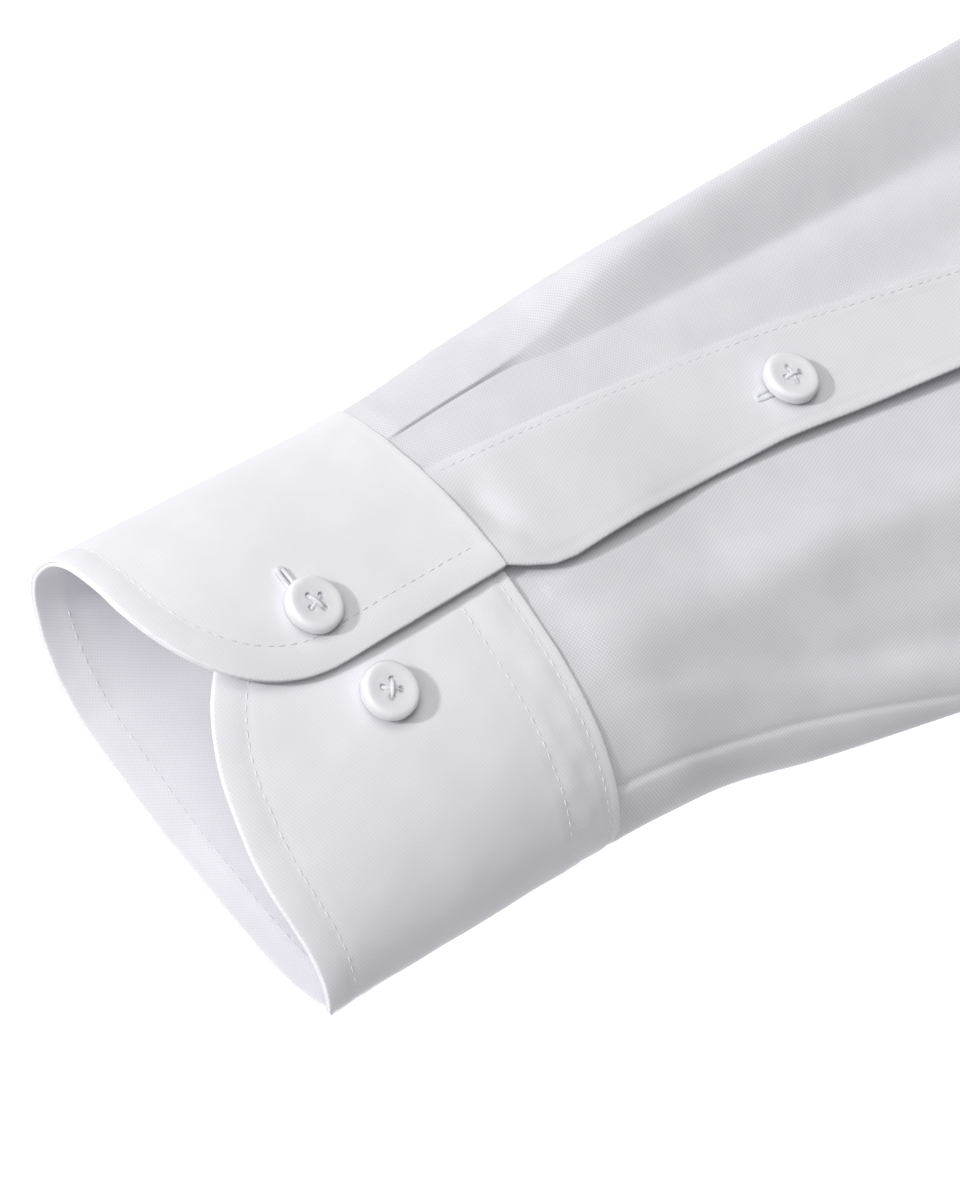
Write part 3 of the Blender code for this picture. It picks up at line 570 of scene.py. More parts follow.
# The pleat: place along, where it starts to rise, and the rise's width and height.
PLEAT_FOLD = ((71, 40.9, 0.6, 0.0), (76, 41.2, 0.6, 1.0), (97, 42.7, 0.6, 1.2),
              (106, 43.0, 1.4, 1.5), (116, 41.6, 4.5, 2.6), (128, 41.4, 8.5, 5.6),
              (141, 41.2, 12.0, 8.6), (164, 41.4, 14.5, 10.4), (208, 41.4, 17.5, 10.8),
              (260, 41.5, 21.0, 9.0), (340, 38.0, 25.0, 5.0), (440, 31.0, 28.0, 1.4))
PLEAT_SOFT, PLEAT_SOFTER, PLEAT_SOFT_FROM, PLEAT_SOFT_OVER = 0.05, 0.10, 190, 60
PLEAT_TOP_SOFT, PLEAT_SINK = 0.02, 13
ARMHOLE_PULLS = (SHOULDER, (0.212, 0.235), (0.232, 0.112), (0.285, 0.085))
ARMHOLE_GAP = 0.001
BODY_EDGE_TOP, BODY_SWELL = 2.6, 3.0

# The folds of the cloth, one row each: path (along, across), half width, height.
SLEEVE_FOLDS = (
    (((120, 36), (140, 36), (177, 36), (210, 34), (250, 28)), 5.0, 0.55),
    (((150, 24), (185, 25), (215, 26), (260, 18)), 5.0, -0.35),
    (((58, -14), (81, -14.5), (96, -15), (114, -16.5), (140, -16), (175, -20), (230, -29)), 7.5, 2.3),
    (((66, -21), (80, -24), (97, -29), (115, -35.5), (142, -45), (168, -53)), 4.2, 0.8),
    (((108, -13), (140, -18), (175, -26), (235, -38)), 11.0, 2.3),
    (((100, -29), (118, -34), (135, -39.5), (152, -44), (200, -54)), 5.0, -1.5),
    (((74, -20), (84, -23), (96, -27.5)), 2.2, -0.35),
    (((104, -42), (130, -47), (150, -54), (200, -70.5), (260, -82.5)), 4.5, -0.7),
    (((70, -6), (82, -8.5), (100, -10)), 3.6, 0.3),
    (((190, 24), (260, 8), (360, -12)), 9.0, -0.7),
    (((200, 40), (280, 26), (360, 10)), 10.0, 1.0),
    (((280, -20), (380, -40), (500, -52)), 14.0, 1.6),
    (((300, 40), (400, 20), (520, 6)), 16.0, 1.8),
    (((420, 50), (500, 30), (590, 22)), 12.0, -1.2),
    (((430, -20), (520, -40), (600, -58)), 12.0, 1.4),
    (((540, 20), (575, -10), (600, -50)), 10.0, 1.5),
)
SLEEVE_UNEVEN = ((0.14, 0.35, 30, 2.0), (0.05, 0.25, 11, 5.0))  # height, stretch, size, seed

# The felled seam, until it rolls under the sleeve, and its ridge, groove and stitched line:
# height, place beside the seam and half width.
SEAM_LINE = ((66, -37), (90, -39), (100, -40.5), (115, -43.5), (130, -47.5), (150, -53.5),
             (200, -70), (260, -82))
SEAM_SLANT = 0.96
SEAM_BAND, SEAM_BAND_RISE, SEAM_BAND_WIDTH = 0.26, 0.07, 8.5
SEAM_MARKS = ((0.05, 1.4, 0.9), (-0.22, -0.4, 0.6), (-0.14, 7.0, 0.7))

# How the sleeve and the gauntlet go in under the cuff's edge.
TUCK_DROP, TUCK_AT, TUCK_FADE = 0.6, 70.2, 1.4
PLIES_UNDER, PLEAT_UNDER, LAP_UNDER, UNDER_REACH = 0.35, 0.55, 0.5, 18


def pleat_roll(along, across):
    """Height of the pleat: it steps up from the gauntlet's side and sinks to the inner fold."""
    start, width, height = (read_along(PLEAT_FOLD, along, k) for k in (1, 2, 3))
    share = (across - start) / width
    soft = PLEAT_SOFT + PLEAT_SOFTER * smooth((along - PLEAT_SOFT_FROM) / PLEAT_SOFT_OVER)
    ramp = (share + np.sqrt(share ** 2 + soft ** 2)) / 2
    over = ramp - 1
    ramp = ramp - np.maximum(0, (over + np.sqrt(over ** 2 + PLEAT_TOP_SOFT)) / 2)
    fade = smooth((start + width + PLEAT_SINK - across) / PLEAT_SINK + 0.3)
    return height * ramp * fade


def felled_seam(along, across):
    """The sleeve's felled seam: a groove, a thin raised edge and a flat band to its stitches."""
    away = (read_along(SEAM_LINE, along) - across) * SEAM_SLANT
    band = SEAM_BAND + SEAM_BAND_RISE * np.clip(away, 0, 6)
    relief = band * smooth(away / 0.9 + 0.3) * smooth((SEAM_BAND_WIDTH - away) / 2.0)
    for height, middle, half in SEAM_MARKS:
        relief += height * np.exp(-((away - middle) / half) ** 2)
    return relief


def tucked(along, depth, reach):
    """How far cloth is pressed down where it goes in under the cuff's edge."""
    return (depth * (1 - smooth((along - RINGS[SEAM, 0]) / reach))
            + TUCK_DROP * (1 - smooth((along - TUCK_AT) / TUCK_FADE)))


def armhole(share):
    """The armhole seam in plan, metres, from the shoulder to the underarm."""
    share = np.asarray(share, float)[..., None]
    rest = 1 - share
    a, b, c, d = (np.array(p) for p in ARMHOLE_PULLS)
    return (rest ** 3 * a + 3 * rest * rest * share * b + 3 * rest * share * share * c
            + share ** 3 * d)


def body_top(x):
    """Height of the fronts' upper face, metres."""
    share = np.minimum(1.0, np.abs(x) / ARMHOLE_PULLS[-1][0])
    return (BODY_EDGE_TOP + BODY_SWELL * (1 - share ** 4)) * MM


def sleeve_closeness(along, across):
    """Where the cloth turns sharply its points lie closer: at the pleat's lip and the seam."""
    lip, felled = read_along(PLEAT_FOLD, along), read_along(SEAM_LINE, along)
    crisp = smooth((140 - along) / 30)
    return (1 + 5 * crisp * np.exp(-((across - lip) / 1.8) ** 2)
            + 2.5 * np.exp(-((across - felled + 1) / 2.5) ** 2))


def into_armhole(shape, place, outer_fold, inner_fold, on_top):
    """The sleeve's points with its last rows bent to the armhole's seam and raised to it."""
    reach = np.clip(place - (LAST - 1), 0, 1)[:, None] ** 2
    out, into = shape[:, outer_fold], shape[:, inner_fold]
    run = (into - out)[:, :2]
    spot = np.einsum("ijk,ik->ij", shape[..., :2] - out[:, None, :2], run)
    spot = np.clip(spot / (run ** 2).sum(axis=1)[:, None], 0, 1)
    seam_run = armhole(np.minimum(1, spot + 0.01)) - armhole(np.maximum(0, spot - 0.01))
    outward = np.stack([-seam_run[..., 1], seam_run[..., 0]], axis=-1)
    outward /= np.linalg.norm(outward, axis=-1, keepdims=True)
    seam = armhole(spot) + outward * ARMHOLE_GAP
    straight = mix(np.array(SHOULDER), np.array(ARMHOLE_PULLS[-1]), spot[..., None])
    shape[..., :2] += (seam - straight) * reach[..., None]
    swell = np.minimum(1.0, 12 * spot * (1 - spot)) * on_top
    meet = mix(shape[..., 2], body_top(seam[..., 0]), swell)
    shape[..., 2] = mix(shape[..., 2], meet, reach)
    return shape


def sleeve_surface():
    """The left sleeve's outer points, metres, the first row at the cuff."""
    slit_top = RINGS[SLIT_TOP, 0]
    along = np.unique(np.concatenate([np.linspace(*stretch) for stretch in SLEEVE_ROWS]))
    place = place_of(along)
    ring = rings_at(place)
    stitched = share_of(ring, ring["stitched"])
    cut = np.where(place < SLIT_TOP - 1e-6, SLIT_HALF / (ring["into"] - ring["out"]), 0.0)
    points = around(ring, stitched - cut, stitched + cut, SLEEVE_COUNTS, sleeve_closeness)
    normals = grid_normals(points)
    outer_fold, inner_fold = SLEEVE_COUNTS[0] - 1, SLEEVE_COUNTS[0] + SLEEVE_COUNTS[1] - 2
    column = np.arange(points.shape[1])
    on_top = ~((column > outer_fold) & (column < inner_fold)) * 1.0
    a, c = points[..., 0], points[..., 1]
    relief = np.zeros(a.shape)
    for path, width, lift in SLEEVE_FOLDS:
        relief += crease(a, c, path, width, lift)
    for lift, stretch, size, seed in SLEEVE_UNEVEN:
        relief += lift * wander(a * stretch, c, size, seed)
    off_fold = np.minimum(1.0, np.abs(points[..., 2] - FOLD_HEIGHT) / FOLD_FADE)
    off_cuff = smooth((a - RINGS[SEAM, 0]) / CUFF_FADE)
    relief *= on_top * off_cuff * np.where(relief < 0, off_fold, 1.0)
    relief += felled_seam(a, c) * (column <= outer_fold)
    lapped = smooth((ring["stitched"][:, None] + 6 - c) / 3) * (c > 0)
    level = mix(PLIES_UNDER, PLEAT_UNDER, smooth((46 - c) / 4)) + LAP_UNDER * lapped
    points = points + normals * (relief - tucked(a, level, UNDER_REACH))[..., None]
    facing_up = smooth(normals[..., 2] / 0.45) * (column > inner_fold)
    points[..., 2] = np.maximum(points[..., 2] + pleat_roll(a, c) * facing_up, 0.0)
    shape = into_armhole(to_shirt(points), place, outer_fold, inner_fold, on_top)
    return shape, int(np.argmax(along >= slit_top - 1e-6))


sleeve_grid, slit_row = sleeve_surface()
for side in ("left", "right"):
    sleeve = cloth_piece("sleeve_cloth_" + side, sleeve_grid, SLEEVE_WALL * MM, single_cotton,
                         joined_from=slit_row, flip=side == "right")
    sewn(sleeve, "sleeve_" + side)


# ---- Cuffs --------------------------------------------------------------------------------------
# A cuff is a stiff band of two plies with an interlining, turned out through its rounded
# ends and stitched 6 mm inside every edge.  Its buttonhole end laps over its button end.
CUFF_DEPTH = 72.0
CORNER = 32.0
CUFF_WALL = 1.35
CUFF_RINGS, CUFF_LEVELS, CORNER_POINTS = 25, 64, 22
BUTTON_END = 0.715                   # shares of the width, the second at mouth and seam
BUTTONHOLE_END = (0.51, 0.53)
LOWER_RIM_BOW = (-3.1, 0.26, 0.17)   # how the mouth's rim bows: how far, and where and how
UNDER_RIM_BOW = (1.1, 0.34, 0.24)    # wide as shares of the width
EDGE_STITCH, EDGE_ROLL, ROLL_HALF = 6.0, 0.14, 2.2
SEAM_STITCHES = ((2.2, 0.16), (12.0, 0.10))          # from the seam, and how deep they draw
PUCKER, PUCKER_AT, PUCKER_HALF = 0.14, 7, 4.0        # between those two lines
UNEVEN_SEAM, UNEVEN_HALF = 0.15, 5.0
GROOVE_ROLL, GROOVE_ROLL_AWAY = 0.35, 2.2


def cuff_surface():
    """The left cuff's outer points, each one's distance to the nearest free edge and to the
    seam, its way round and its depth, all in millimetres."""
    corner = CORNER * (1 - np.cos(np.linspace(0, math.pi / 2, CORNER_POINTS)))
    depths = steps(CUFF_RINGS)
    ring = rings_at(depths)

    def from_end(length):
        return np.concatenate([corner[:-1], np.linspace(CORNER, length, 28)])

    def to_end(length):
        return np.concatenate([np.linspace(0, length - CORNER, 26), length - corner[-2::-1]])

    coarse = around(ring, np.full(CUFF_RINGS, BUTTON_END), mix(*BUTTONHOLE_END, depths),
                    (from_end, 90, to_end))
    column = np.arange(coarse.shape[1])
    share = share_of(each_row(ring), coarse[..., 1])
    lower_ply = column < np.argmin(coarse[-1, :, 1])
    underside = ~lower_ply & (column < np.argmax(coarse[-1, :, 1]))
    for ply, (bow, middle, width) in ((lower_ply, LOWER_RIM_BOW), (underside, UNDER_RIM_BOW)):
        near = np.exp(-((share - middle) / width) ** 2)
        coarse[..., 0] += bow * near * ply * (1 - depths[:, None]) ** 2
    cut = np.zeros(len(column))
    bend = CORNER - np.sqrt(np.maximum(0.0, CORNER ** 2 - (CORNER - corner) ** 2))
    cut[:len(bend)] = bend
    cut[len(column) - len(bend):] = bend[::-1]
    depth = mix(cut[None, :] / CUFF_DEPTH, 1.0, steps(CUFF_LEVELS)[:, None])
    at = depth * (CUFF_RINGS - 1)
    low = np.minimum(at.astype(int), CUFF_RINGS - 2)
    points = mix(coarse[low, column], coarse[low + 1, column], (at - low)[..., None])
    lengths = np.linalg.norm(np.diff(coarse, axis=1), axis=2).mean(axis=0)
    girth = np.concatenate([[0.0], np.cumsum(lengths)])
    run = np.broadcast_to(girth, depth.shape)
    down = depth * CUFF_DEPTH
    aside = np.minimum(run, girth[-1] - run)
    in_corner = (aside < CORNER) & (down < CORNER)
    edge = np.where(in_corner, CORNER - np.hypot(CORNER - aside, CORNER - down),
                    np.minimum(aside, down))
    return points, np.maximum(edge, 0), CUFF_DEPTH - down, run, down


cuff_flat, cuff_edge, cuff_seam, cuff_run, cuff_down = cuff_surface()
cuff_normals = grid_normals(cuff_flat)


def stitch_groove(distance, line, depth=0.11, width=0.8):
    """A stitched line pulls the cloth down and leaves a soft roll on each side."""
    return (-depth * np.exp(-((distance - line) / width) ** 2)
            + GROOVE_ROLL * depth
            * np.exp(-((np.abs(distance - line) - GROOVE_ROLL_AWAY * width) / width) ** 2))


def cuff_relief():
    """What the cuff's stitches, seam and cloth add to its outer face."""
    relief = stitch_groove(cuff_edge, EDGE_STITCH)
    relief += EDGE_ROLL * np.exp(-((cuff_edge - ROLL_HALF) / ROLL_HALF) ** 2)
    on_lower = mix(0.2, 1.0, smooth((cuff_run[0, -1] - 58 - cuff_run) / 10))
    for line, depth in SEAM_STITCHES:
        groove = stitch_groove(cuff_seam, line, depth)
        relief += groove * smooth(cuff_edge / EDGE_STITCH) * on_lower
    from_pucker = cuff_seam - PUCKER_AT
    pucker = 0.5 + 0.5 * np.sin(cuff_run * 0.85 + 1.7 * np.sin(cuff_run * 0.21))
    relief += PUCKER * pucker * np.exp(-(from_pucker / PUCKER_HALF) ** 2) * on_lower
    uneven = (wander(cuff_run, cuff_down, 6.5, 7.0)
              + 0.6 * wander(cuff_run, cuff_down * 0.3, 3.6, 3.0))
    relief += UNEVEN_SEAM * uneven * np.exp(-(from_pucker / UNEVEN_HALF) ** 4) * on_lower
    relief += 0.10 * wander(cuff_run, cuff_down, 26, 1.0) * smooth(cuff_seam / 5)
    relief += 0.07 * wander(cuff_run, cuff_down, 9, 4.0)
    return relief


cuff_points = cuff_flat + cuff_normals * cuff_relief()[..., None]
cuff_points[..., 2] = np.maximum(cuff_points[..., 2], 0.0)
cuff_grid = to_shirt(cuff_points)
for side in ("left", "right"):
    cuff = cloth_piece("cuff_band_" + side, cuff_grid, CUFF_WALL * MM, doubled_cotton,
                       edge=TURNED_EDGE, flip=side == "right",
                       weave=(cuff_run * MM, cuff_down * MM))
    sewn(cuff, "cuff_" + side)


# ---- Gauntlets ------------------------------------------------------------------------------------
# The gauntlet is a folded strip of shirting laid over the sleeve's opening: stitched down
# on one side, free and softly rolled on the other, with a stitched point at its top.
GAUNTLET_LAP = 4.0
GAUNTLET_WALL = 0.85
GAUNTLET_SINK, GAUNTLET_TUCK, TUCK_REACH = 0.05, 1.05, 16
POINT_ROWS, POINT_FROM = 0.22, 0.8
GAUNTLET_STITCH, STITCHED_DEEP, FREE_DEEP, GAUNTLET_GROOVE = 1.8, 0.12, 0.08, 0.5
gauntlet_rows, gauntlet_columns = 150, 44
GAUNTLET_CREASES = ((((76, 27), (77.5, 19), (79, 11)), 3.4, -0.8),
                    (((72, 13), (78, 8.5), (86, 4)), 2.4, 0.5))

# The free edge: place along, with how far across it lies and how high off the sleeve.
FREE_EDGE = ((68, 9.5), (72, 8.0), (77, 5.4), (82, 3.4), (87, 3.0), (95, 3.6), (106, 4.3),
             (125, 4.8), (143, 4.7), (152, 4.0), (163, 3.0), (189, 1.0), (200, 0.0), (245, -9.0))
EDGE_LIFT = ((68, 3.2), (74, 2.9), (81, 2.3), (88, 2.5), (96, 3.1), (104, 3.2), (112, 2.6),
             (122, 2.0), (134, 2.2), (146, 2.7), (156, 2.8), (170, 2.9), (189, 3.4), (205, 3.0),
             (245, 1.45))


def gauntlet_height(ring, share):
    """Top of the gauntlet: close over the sleeve where it is stitched, off it at its edge."""
    along = along_at(ring, share)
    stitched = share_of(ring, ring["stitched"])
    free = share_of(ring, read_along(FREE_EDGE, along))
    close = GAUNTLET_WALL - GAUNTLET_SINK
    reach = np.clip((stitched - share) / np.maximum(1e-6, stitched - free), 0, 1.2)
    apart = mix(upper_lift(ring, stitched) + close, read_along(EDGE_LIFT, along), reach)
    lift = np.where(share > stitched, upper_lift(ring, share) + close, apart)
    return wall_height(ring, share, True) + lift - tucked(along, GAUNTLET_TUCK, TUCK_REACH)


part = steps(gauntlet_columns)[None, :]
up_strip = steps(gauntlet_rows)[:, None]
at_point = smooth((up_strip - POINT_FROM) / (1 - POINT_FROM))
peak = GAUNTLET_TOP - POINT_ROWS * np.abs(2 * part - 1) * at_point
strip_ring = rings_at(mix(SEAM - 0.04, peak, up_strip))
strip_free = read_along(FREE_EDGE, strip_ring["along_out"])
strip_width = strip_ring["stitched"] + GAUNTLET_LAP - strip_free
strip_share = share_of(strip_ring, mix(strip_ring["stitched"] + GAUNTLET_LAP, strip_free, part))
strip = ring_point(strip_ring, strip_share, gauntlet_height(strip_ring, strip_share))
from_stitched, from_free = part * strip_width, (1 - part) * strip_width
relief = (stitch_groove(from_stitched, GAUNTLET_STITCH, STITCHED_DEEP, GAUNTLET_GROOVE)
          + stitch_groove(from_free, GAUNTLET_STITCH, FREE_DEEP, GAUNTLET_GROOVE))
relief -= 0.35 * np.exp(-(from_stitched / 0.7) ** 2)
for path, width, lift in GAUNTLET_CREASES:
    relief += crease(strip[..., 0], strip[..., 1], path, width, lift, 0.4)
relief *= smooth((strip[..., 0] - 70.5) / 3)
relief += 0.16 * wander(strip[..., 0], strip[..., 1], 24, 3.0)
strip = strip + grid_normals(strip) * relief[..., None]
gauntlet_grid = to_shirt(strip)
for side in ("left", "right"):
    gauntlet = cloth_piece("gauntlet_strip_" + side, gauntlet_grid, GAUNTLET_WALL * MM,
                           folded_cotton, flip=side == "right")
    sewn(gauntlet, "gauntlet_" + side)


# ---- Body: back and fronts ------------------------------------------------------------------------
# The body lies flat, its back on the table and the two fronts on the back, joined at the
# side seams.  Its shirt-tail hem is turned up and stitched.
BODY_WALL = 0.6 * MM
HEM_Y, HEM_RISE = -0.400, 0.070
SIDE_SHARE = 0.6
SIDE_HALF = ((-0.330, 0.284), (-0.080, 0.270), (0.085, 0.285))
NECK_MIDDLE_Y, NECK_HALF = 0.345, 0.078
NECK_FRONT_DEPTH, NECK_BACK_DEPTH = 0.061, 0.041
NECK_SIDE_ANGLE = math.radians(34)
YOKE_NECK_SHARE = 0.76
YOKE_SEAM_Y, YOKE_FRONT_DROP = 0.262, 0.024
CLOSE = 0.35 * MM
BACK_POINTS, BACK_ROWS, BACK_TOP = 90, 120, 0.78
FRONT_ROWS, FRONT_COLUMNS, NECK_COLUMNS = 150, 60, 22
FRONT_SINK, SIDE_TOP = 0.2 * MM, 1.45 * MM           # the fronts come down to the side seams
SEAM_CLIMB, SEAM_FADE, SEAM_REACH = 0.01, 0.04, 0.016
FLAT_CENTRE, FLAT_ABOVE = 0.015, 0.33                # no folds beside the placket or up there
FADE_SIDE, FADE_CENTRE, FADE_HEM, FADE_YOKE = 0.03, 0.03, 0.02, 0.05
HEM_STITCH, HEM_DEEP, HEM_HALF = 0.006, 0.12 * MM, 0.0009
side_curve = np.polyfit(*np.transpose(SIDE_HALF), 2)
# Soft folds of the fronts: path in metres, half width, height in millimetres.
FRONT_FOLDS = (
    (((0.262, 0.070), (0.200, 0.020), (0.120, -0.060)), 0.020, 2.0),
    (((0.272, 0.010), (0.205, -0.060), (0.105, -0.150)), 0.016, 1.5),
    (((0.262, -0.110), (0.190, -0.180), (0.075, -0.230)), 0.018, 1.4),
    (((0.270, -0.230), (0.200, -0.270), (0.110, -0.345)), 0.015, 1.2),
    (((0.120, 0.270), (0.128, 0.150), (0.110, 0.010)), 0.024, 1.6),
    (((0.190, 0.280), (0.185, 0.190), (0.205, 0.110)), 0.016, 1.7),
    (((0.070, 0.120), (0.082, 0.000), (0.066, -0.160)), 0.014, 1.0),
    (((0.060, -0.200), (0.100, -0.290), (0.120, -0.380)), 0.020, 1.3),
)


def side_and_armhole(share, armhole_end):
    """The panel's outer edge: side seam, then the armhole up to armhole_end of it."""
    y = mix(SIDE_HALF[0][0], SIDE_HALF[-1][0], share / SIDE_SHARE)
    side_seam = np.stack([np.polyval(side_curve, y), y], axis=-1)
    sleeved = armhole(np.clip(mix(1.0, armhole_end, (share - SIDE_SHARE) / (1 - SIDE_SHARE)), 0, 1))
    return np.where(share[:, None] < SIDE_SHARE, side_seam, sleeved)


def armhole_share_at(y):
    """How far down the armhole's line a height of the body is, as a share."""
    line = armhole(steps(400))[:, 1]
    return float(np.interp(-y, -line, steps(400)))


def hem_line(x):
    """The shirt-tail hem: lowest in the middle, up towards the side seams."""
    return HEM_Y + HEM_RISE * (np.abs(x) / SIDE_HALF[0][1]) ** 2.6


def neck_spot(angle):
    """The neck seam in plan: an oval, deeper in front than behind."""
    depth = np.where(np.sin(angle) > 0, NECK_BACK_DEPTH, NECK_FRONT_DEPTH)
    return np.stack([NECK_HALF * np.cos(angle), NECK_MIDDLE_Y + depth * np.sin(angle)], axis=-1)


def front_neck(share):
    """The front's neck edge, from the centre front to the shoulder's top."""
    return neck_spot(mix(-math.pi / 2, NECK_SIDE_ANGLE, share))


def coons(bottom, top, left, right):
    """A grid of plan points between four edges."""
    u, v = steps(len(bottom))[None, :, None], steps(len(left))[:, None, None]
    ends = mix(mix(bottom[0], bottom[-1], u), mix(top[0], top[-1], u), v)
    return mix(bottom[None], top[None], v) + mix(left[:, None], right[:, None], u) - ends


def raised(plan, z):
    """A plan's points at the heights z."""
    return np.concatenate([plan, np.broadcast_to(z, plan.shape[:2])[..., None]], axis=2)


top_y = YOKE_SEAM_Y - CLOSE
armhole_end = armhole_share_at(top_y)
across_back = steps(BACK_POINTS)
hem_x = mix(-SIDE_HALF[0][1], SIDE_HALF[0][1], across_back)
half_top = armhole(armhole_end)[..., 0]
outer_edge = side_and_armhole(steps(BACK_ROWS), armhole_end)
top_edge = np.stack([mix(-half_top, half_top, across_back), np.full(BACK_POINTS, top_y)], axis=1)
plan = coons(np.stack([hem_x, hem_line(hem_x)], axis=1), top_edge,
             outer_edge * MIRRORED[:2], outer_edge)
back_z = (BACK_TOP + 0.12 * wander(plan[..., 0], plan[..., 1], 0.12, 1.0)) * MM
back = cloth_piece("back_panel", raised(plan, back_z), BODY_WALL, single_cotton)
sewn(back, "back")

seam_gap = np.array([0.0, -2 * CLOSE])
front_end = armhole_share_at(SHOULDER[1] - YOKE_FRONT_DROP + seam_gap[1])
neck_part = front_neck(YOKE_NECK_SHARE * steps(NECK_COLUMNS)) + seam_gap
seam_steps = steps(FRONT_COLUMNS - NECK_COLUMNS + 1)[1:, None]
seam_part = mix(neck_part[-1], armhole(front_end), seam_steps)
front_x = mix(CLOSE, SIDE_HALF[0][1], steps(FRONT_COLUMNS))
centre_y = mix(HEM_Y, neck_part[0, 1], steps(FRONT_ROWS))
centre = np.stack([np.full(FRONT_ROWS, CLOSE), centre_y], axis=1)
plan = coons(np.stack([front_x, hem_line(front_x)], axis=1), np.concatenate([neck_part, seam_part]),
             centre, side_and_armhole(steps(FRONT_ROWS), front_end))
plan[..., 0] = np.maximum(plan[..., 0], CLOSE)
x, y = plan[..., 0], plan[..., 1]
from_side, from_hem = plan[:, -1:, 0] - x, y - hem_line(x)
at_side = smooth((SIDE_HALF[-1][0] + SEAM_CLIMB - y) / SEAM_FADE)
at_side *= 1 - smooth(from_side / SEAM_REACH)
inside = smooth(from_side / FADE_SIDE) * smooth((x - FLAT_CENTRE) / FADE_CENTRE)
inside *= smooth(from_hem / FADE_HEM) * smooth((FLAT_ABOVE - y) / FADE_YOKE)
hem_groove = HEM_DEEP * np.exp(-((from_hem - HEM_STITCH) / HEM_HALF) ** 2)
for side, seed, scale, shift in (("left", 1.0, 1.0, 0.0), ("right", 4.0, 0.85, 0.014)):
    folds = np.zeros(plan.shape[:2])
    for path, width, lift in FRONT_FOLDS:
        moved = [(px - shift * 0.6, py + shift * (1 + k)) for k, (px, py) in enumerate(path)]
        folds += crease(x, y, moved, width, lift * scale)
    folds += 0.35 * (wander(x, y, 0.085, seed) + 0.6)
    top = body_top(x) - FRONT_SINK + folds * inside * MM - hem_groove
    front = cloth_piece("front_panel_" + side, raised(plan, mix(top, SIDE_TOP, at_side)),
                        BODY_WALL, single_cotton, flip=side == "right")
    sewn(front, "front_" + side)


# ---- Yoke ---------------------------------------------------------------------------------------
# The yoke is a doubled piece across the shoulders.  It folds over the top of the body, from
# its seam across the back to a seam a little way down each front.
YOKE_WALL = 0.9 * MM
FOLD_POINTS, YOKE_EDGE_IN = 15, 1.05 * MM
back_rows, over_rows, neck_lines, side_lines = 16, 34, 10, 34


def resampled(line, count):
    """The line as so many points, evenly spaced."""
    reach = np.concatenate([[0.0], np.cumsum(np.linalg.norm(np.diff(line, axis=0), axis=1))])
    want = steps(count) * reach[-1]
    return np.stack([np.interp(want, reach, line[:, k]) for k in range(3)], axis=1)


yoke_back_end = armhole_share_at(YOKE_SEAM_Y)
yoke_front_end = armhole_share_at(SHOULDER[1] - YOKE_FRONT_DROP)
neck_corner = front_neck(1.0)
columns = []
for share in steps(neck_lines + 1)[:-1]:
    x = share * neck_corner[0]
    neck_y = NECK_MIDDLE_Y + NECK_BACK_DEPTH * math.sqrt(1 - (x / NECK_HALF) ** 2)
    up = np.stack([np.full(back_rows, x), mix(YOKE_SEAM_Y, neck_y, steps(back_rows)),
                   np.zeros(back_rows)], axis=1)
    columns.append(np.concatenate([up, np.repeat(up[-1:], over_rows, axis=0)]))
for place in steps(side_lines):
    ridge = mix(neck_corner, np.array(SHOULDER), place)
    foot_x = armhole(yoke_back_end)[0] * mix(neck_corner[0] / SHOULDER[0], 1.0, place)
    foot = np.array([foot_x, YOKE_SEAM_Y])
    middle = mix(foot, ridge, 0.5)
    if place == 1.0:
        middle = armhole(yoke_back_end / 2)
    radius = body_top(ridge[0]) / 2
    turned_y = ridge[1] - radius
    up = resampled(np.array([[*foot, 0], [*middle, 0], [ridge[0], turned_y, 0]]), back_rows)
    turn = np.linspace(0, math.pi, FOLD_POINTS)
    arc = np.stack([np.full(FOLD_POINTS, ridge[0]), turned_y + radius * np.sin(turn),
                    radius - radius * np.cos(turn)], axis=1)
    mid = mix(front_neck((1 + YOKE_NECK_SHARE) / 2), armhole(yoke_front_end / 2), place)
    low = mix(front_neck(YOKE_NECK_SHARE), armhole(yoke_front_end), place)
    front_line = np.array([[*mid, body_top(mid[0])], [*low, body_top(low[0])]])
    down = resampled(np.vstack([arc[-1], front_line]), over_rows - FOLD_POINTS + 2)
    line = np.concatenate([up, arc[1:], down[1:]])
    columns.append(line - (YOKE_EDGE_IN * (place == 1.0), 0, 0))
half_yoke = np.array(columns)
yoke_grid = np.concatenate([half_yoke[::-1], half_yoke[1:] * MIRRORED]).transpose(1, 0, 2)
yoke_kept = np.ones((yoke_grid.shape[0] - 1, yoke_grid.shape[1] - 1), bool)
yoke_kept[back_rows - 1:, side_lines - 1:side_lines - 1 + 2 * neck_lines] = False
yoke = cloth_piece("yoke_panel", yoke_grid, YOKE_WALL, folded_cotton, kept=yoke_kept)
sewn(yoke, "yoke")


# ---- Front placket ---------------------------------------------------------------------------------
# The placket is a folded band, stitched near both edges, that laps over the other front.
BAND_WIDTH, BAND_STEP, BAND_WALL, BAND_AIR = 34.0, 1.9, 1.2, 0.25
BAND_ROWS, BAND_COLUMNS = 230, 40
band_top = body_top(0.0) / MM + BAND_STEP - BAND_AIR
band_y = mix(HEM_Y + 0.0005, front_neck(0.0)[1] - 0.001, steps(BAND_ROWS))[:, None]
across_band = (1 - np.cos(np.pi * steps(BAND_COLUMNS))) / 2
band_x = (mix(-BAND_WIDTH, BAND_WIDTH, across_band) / 2 * MM)[None, :]
from_edge = BAND_WIDTH / 2 - np.abs(band_x) / MM
band_z = (band_top + stitch_groove(from_edge, EDGE_STITCH, 0.14)
          + 0.22 * wander(band_x, band_y, 0.10, 2.0) - 0.05)
band_plan = np.stack(np.broadcast_arrays(band_x, band_y), axis=2)
band_grid = raised(band_plan, band_z * MM)
placket = cloth_piece("placket_band", band_grid, BAND_WALL * MM, folded_cotton)
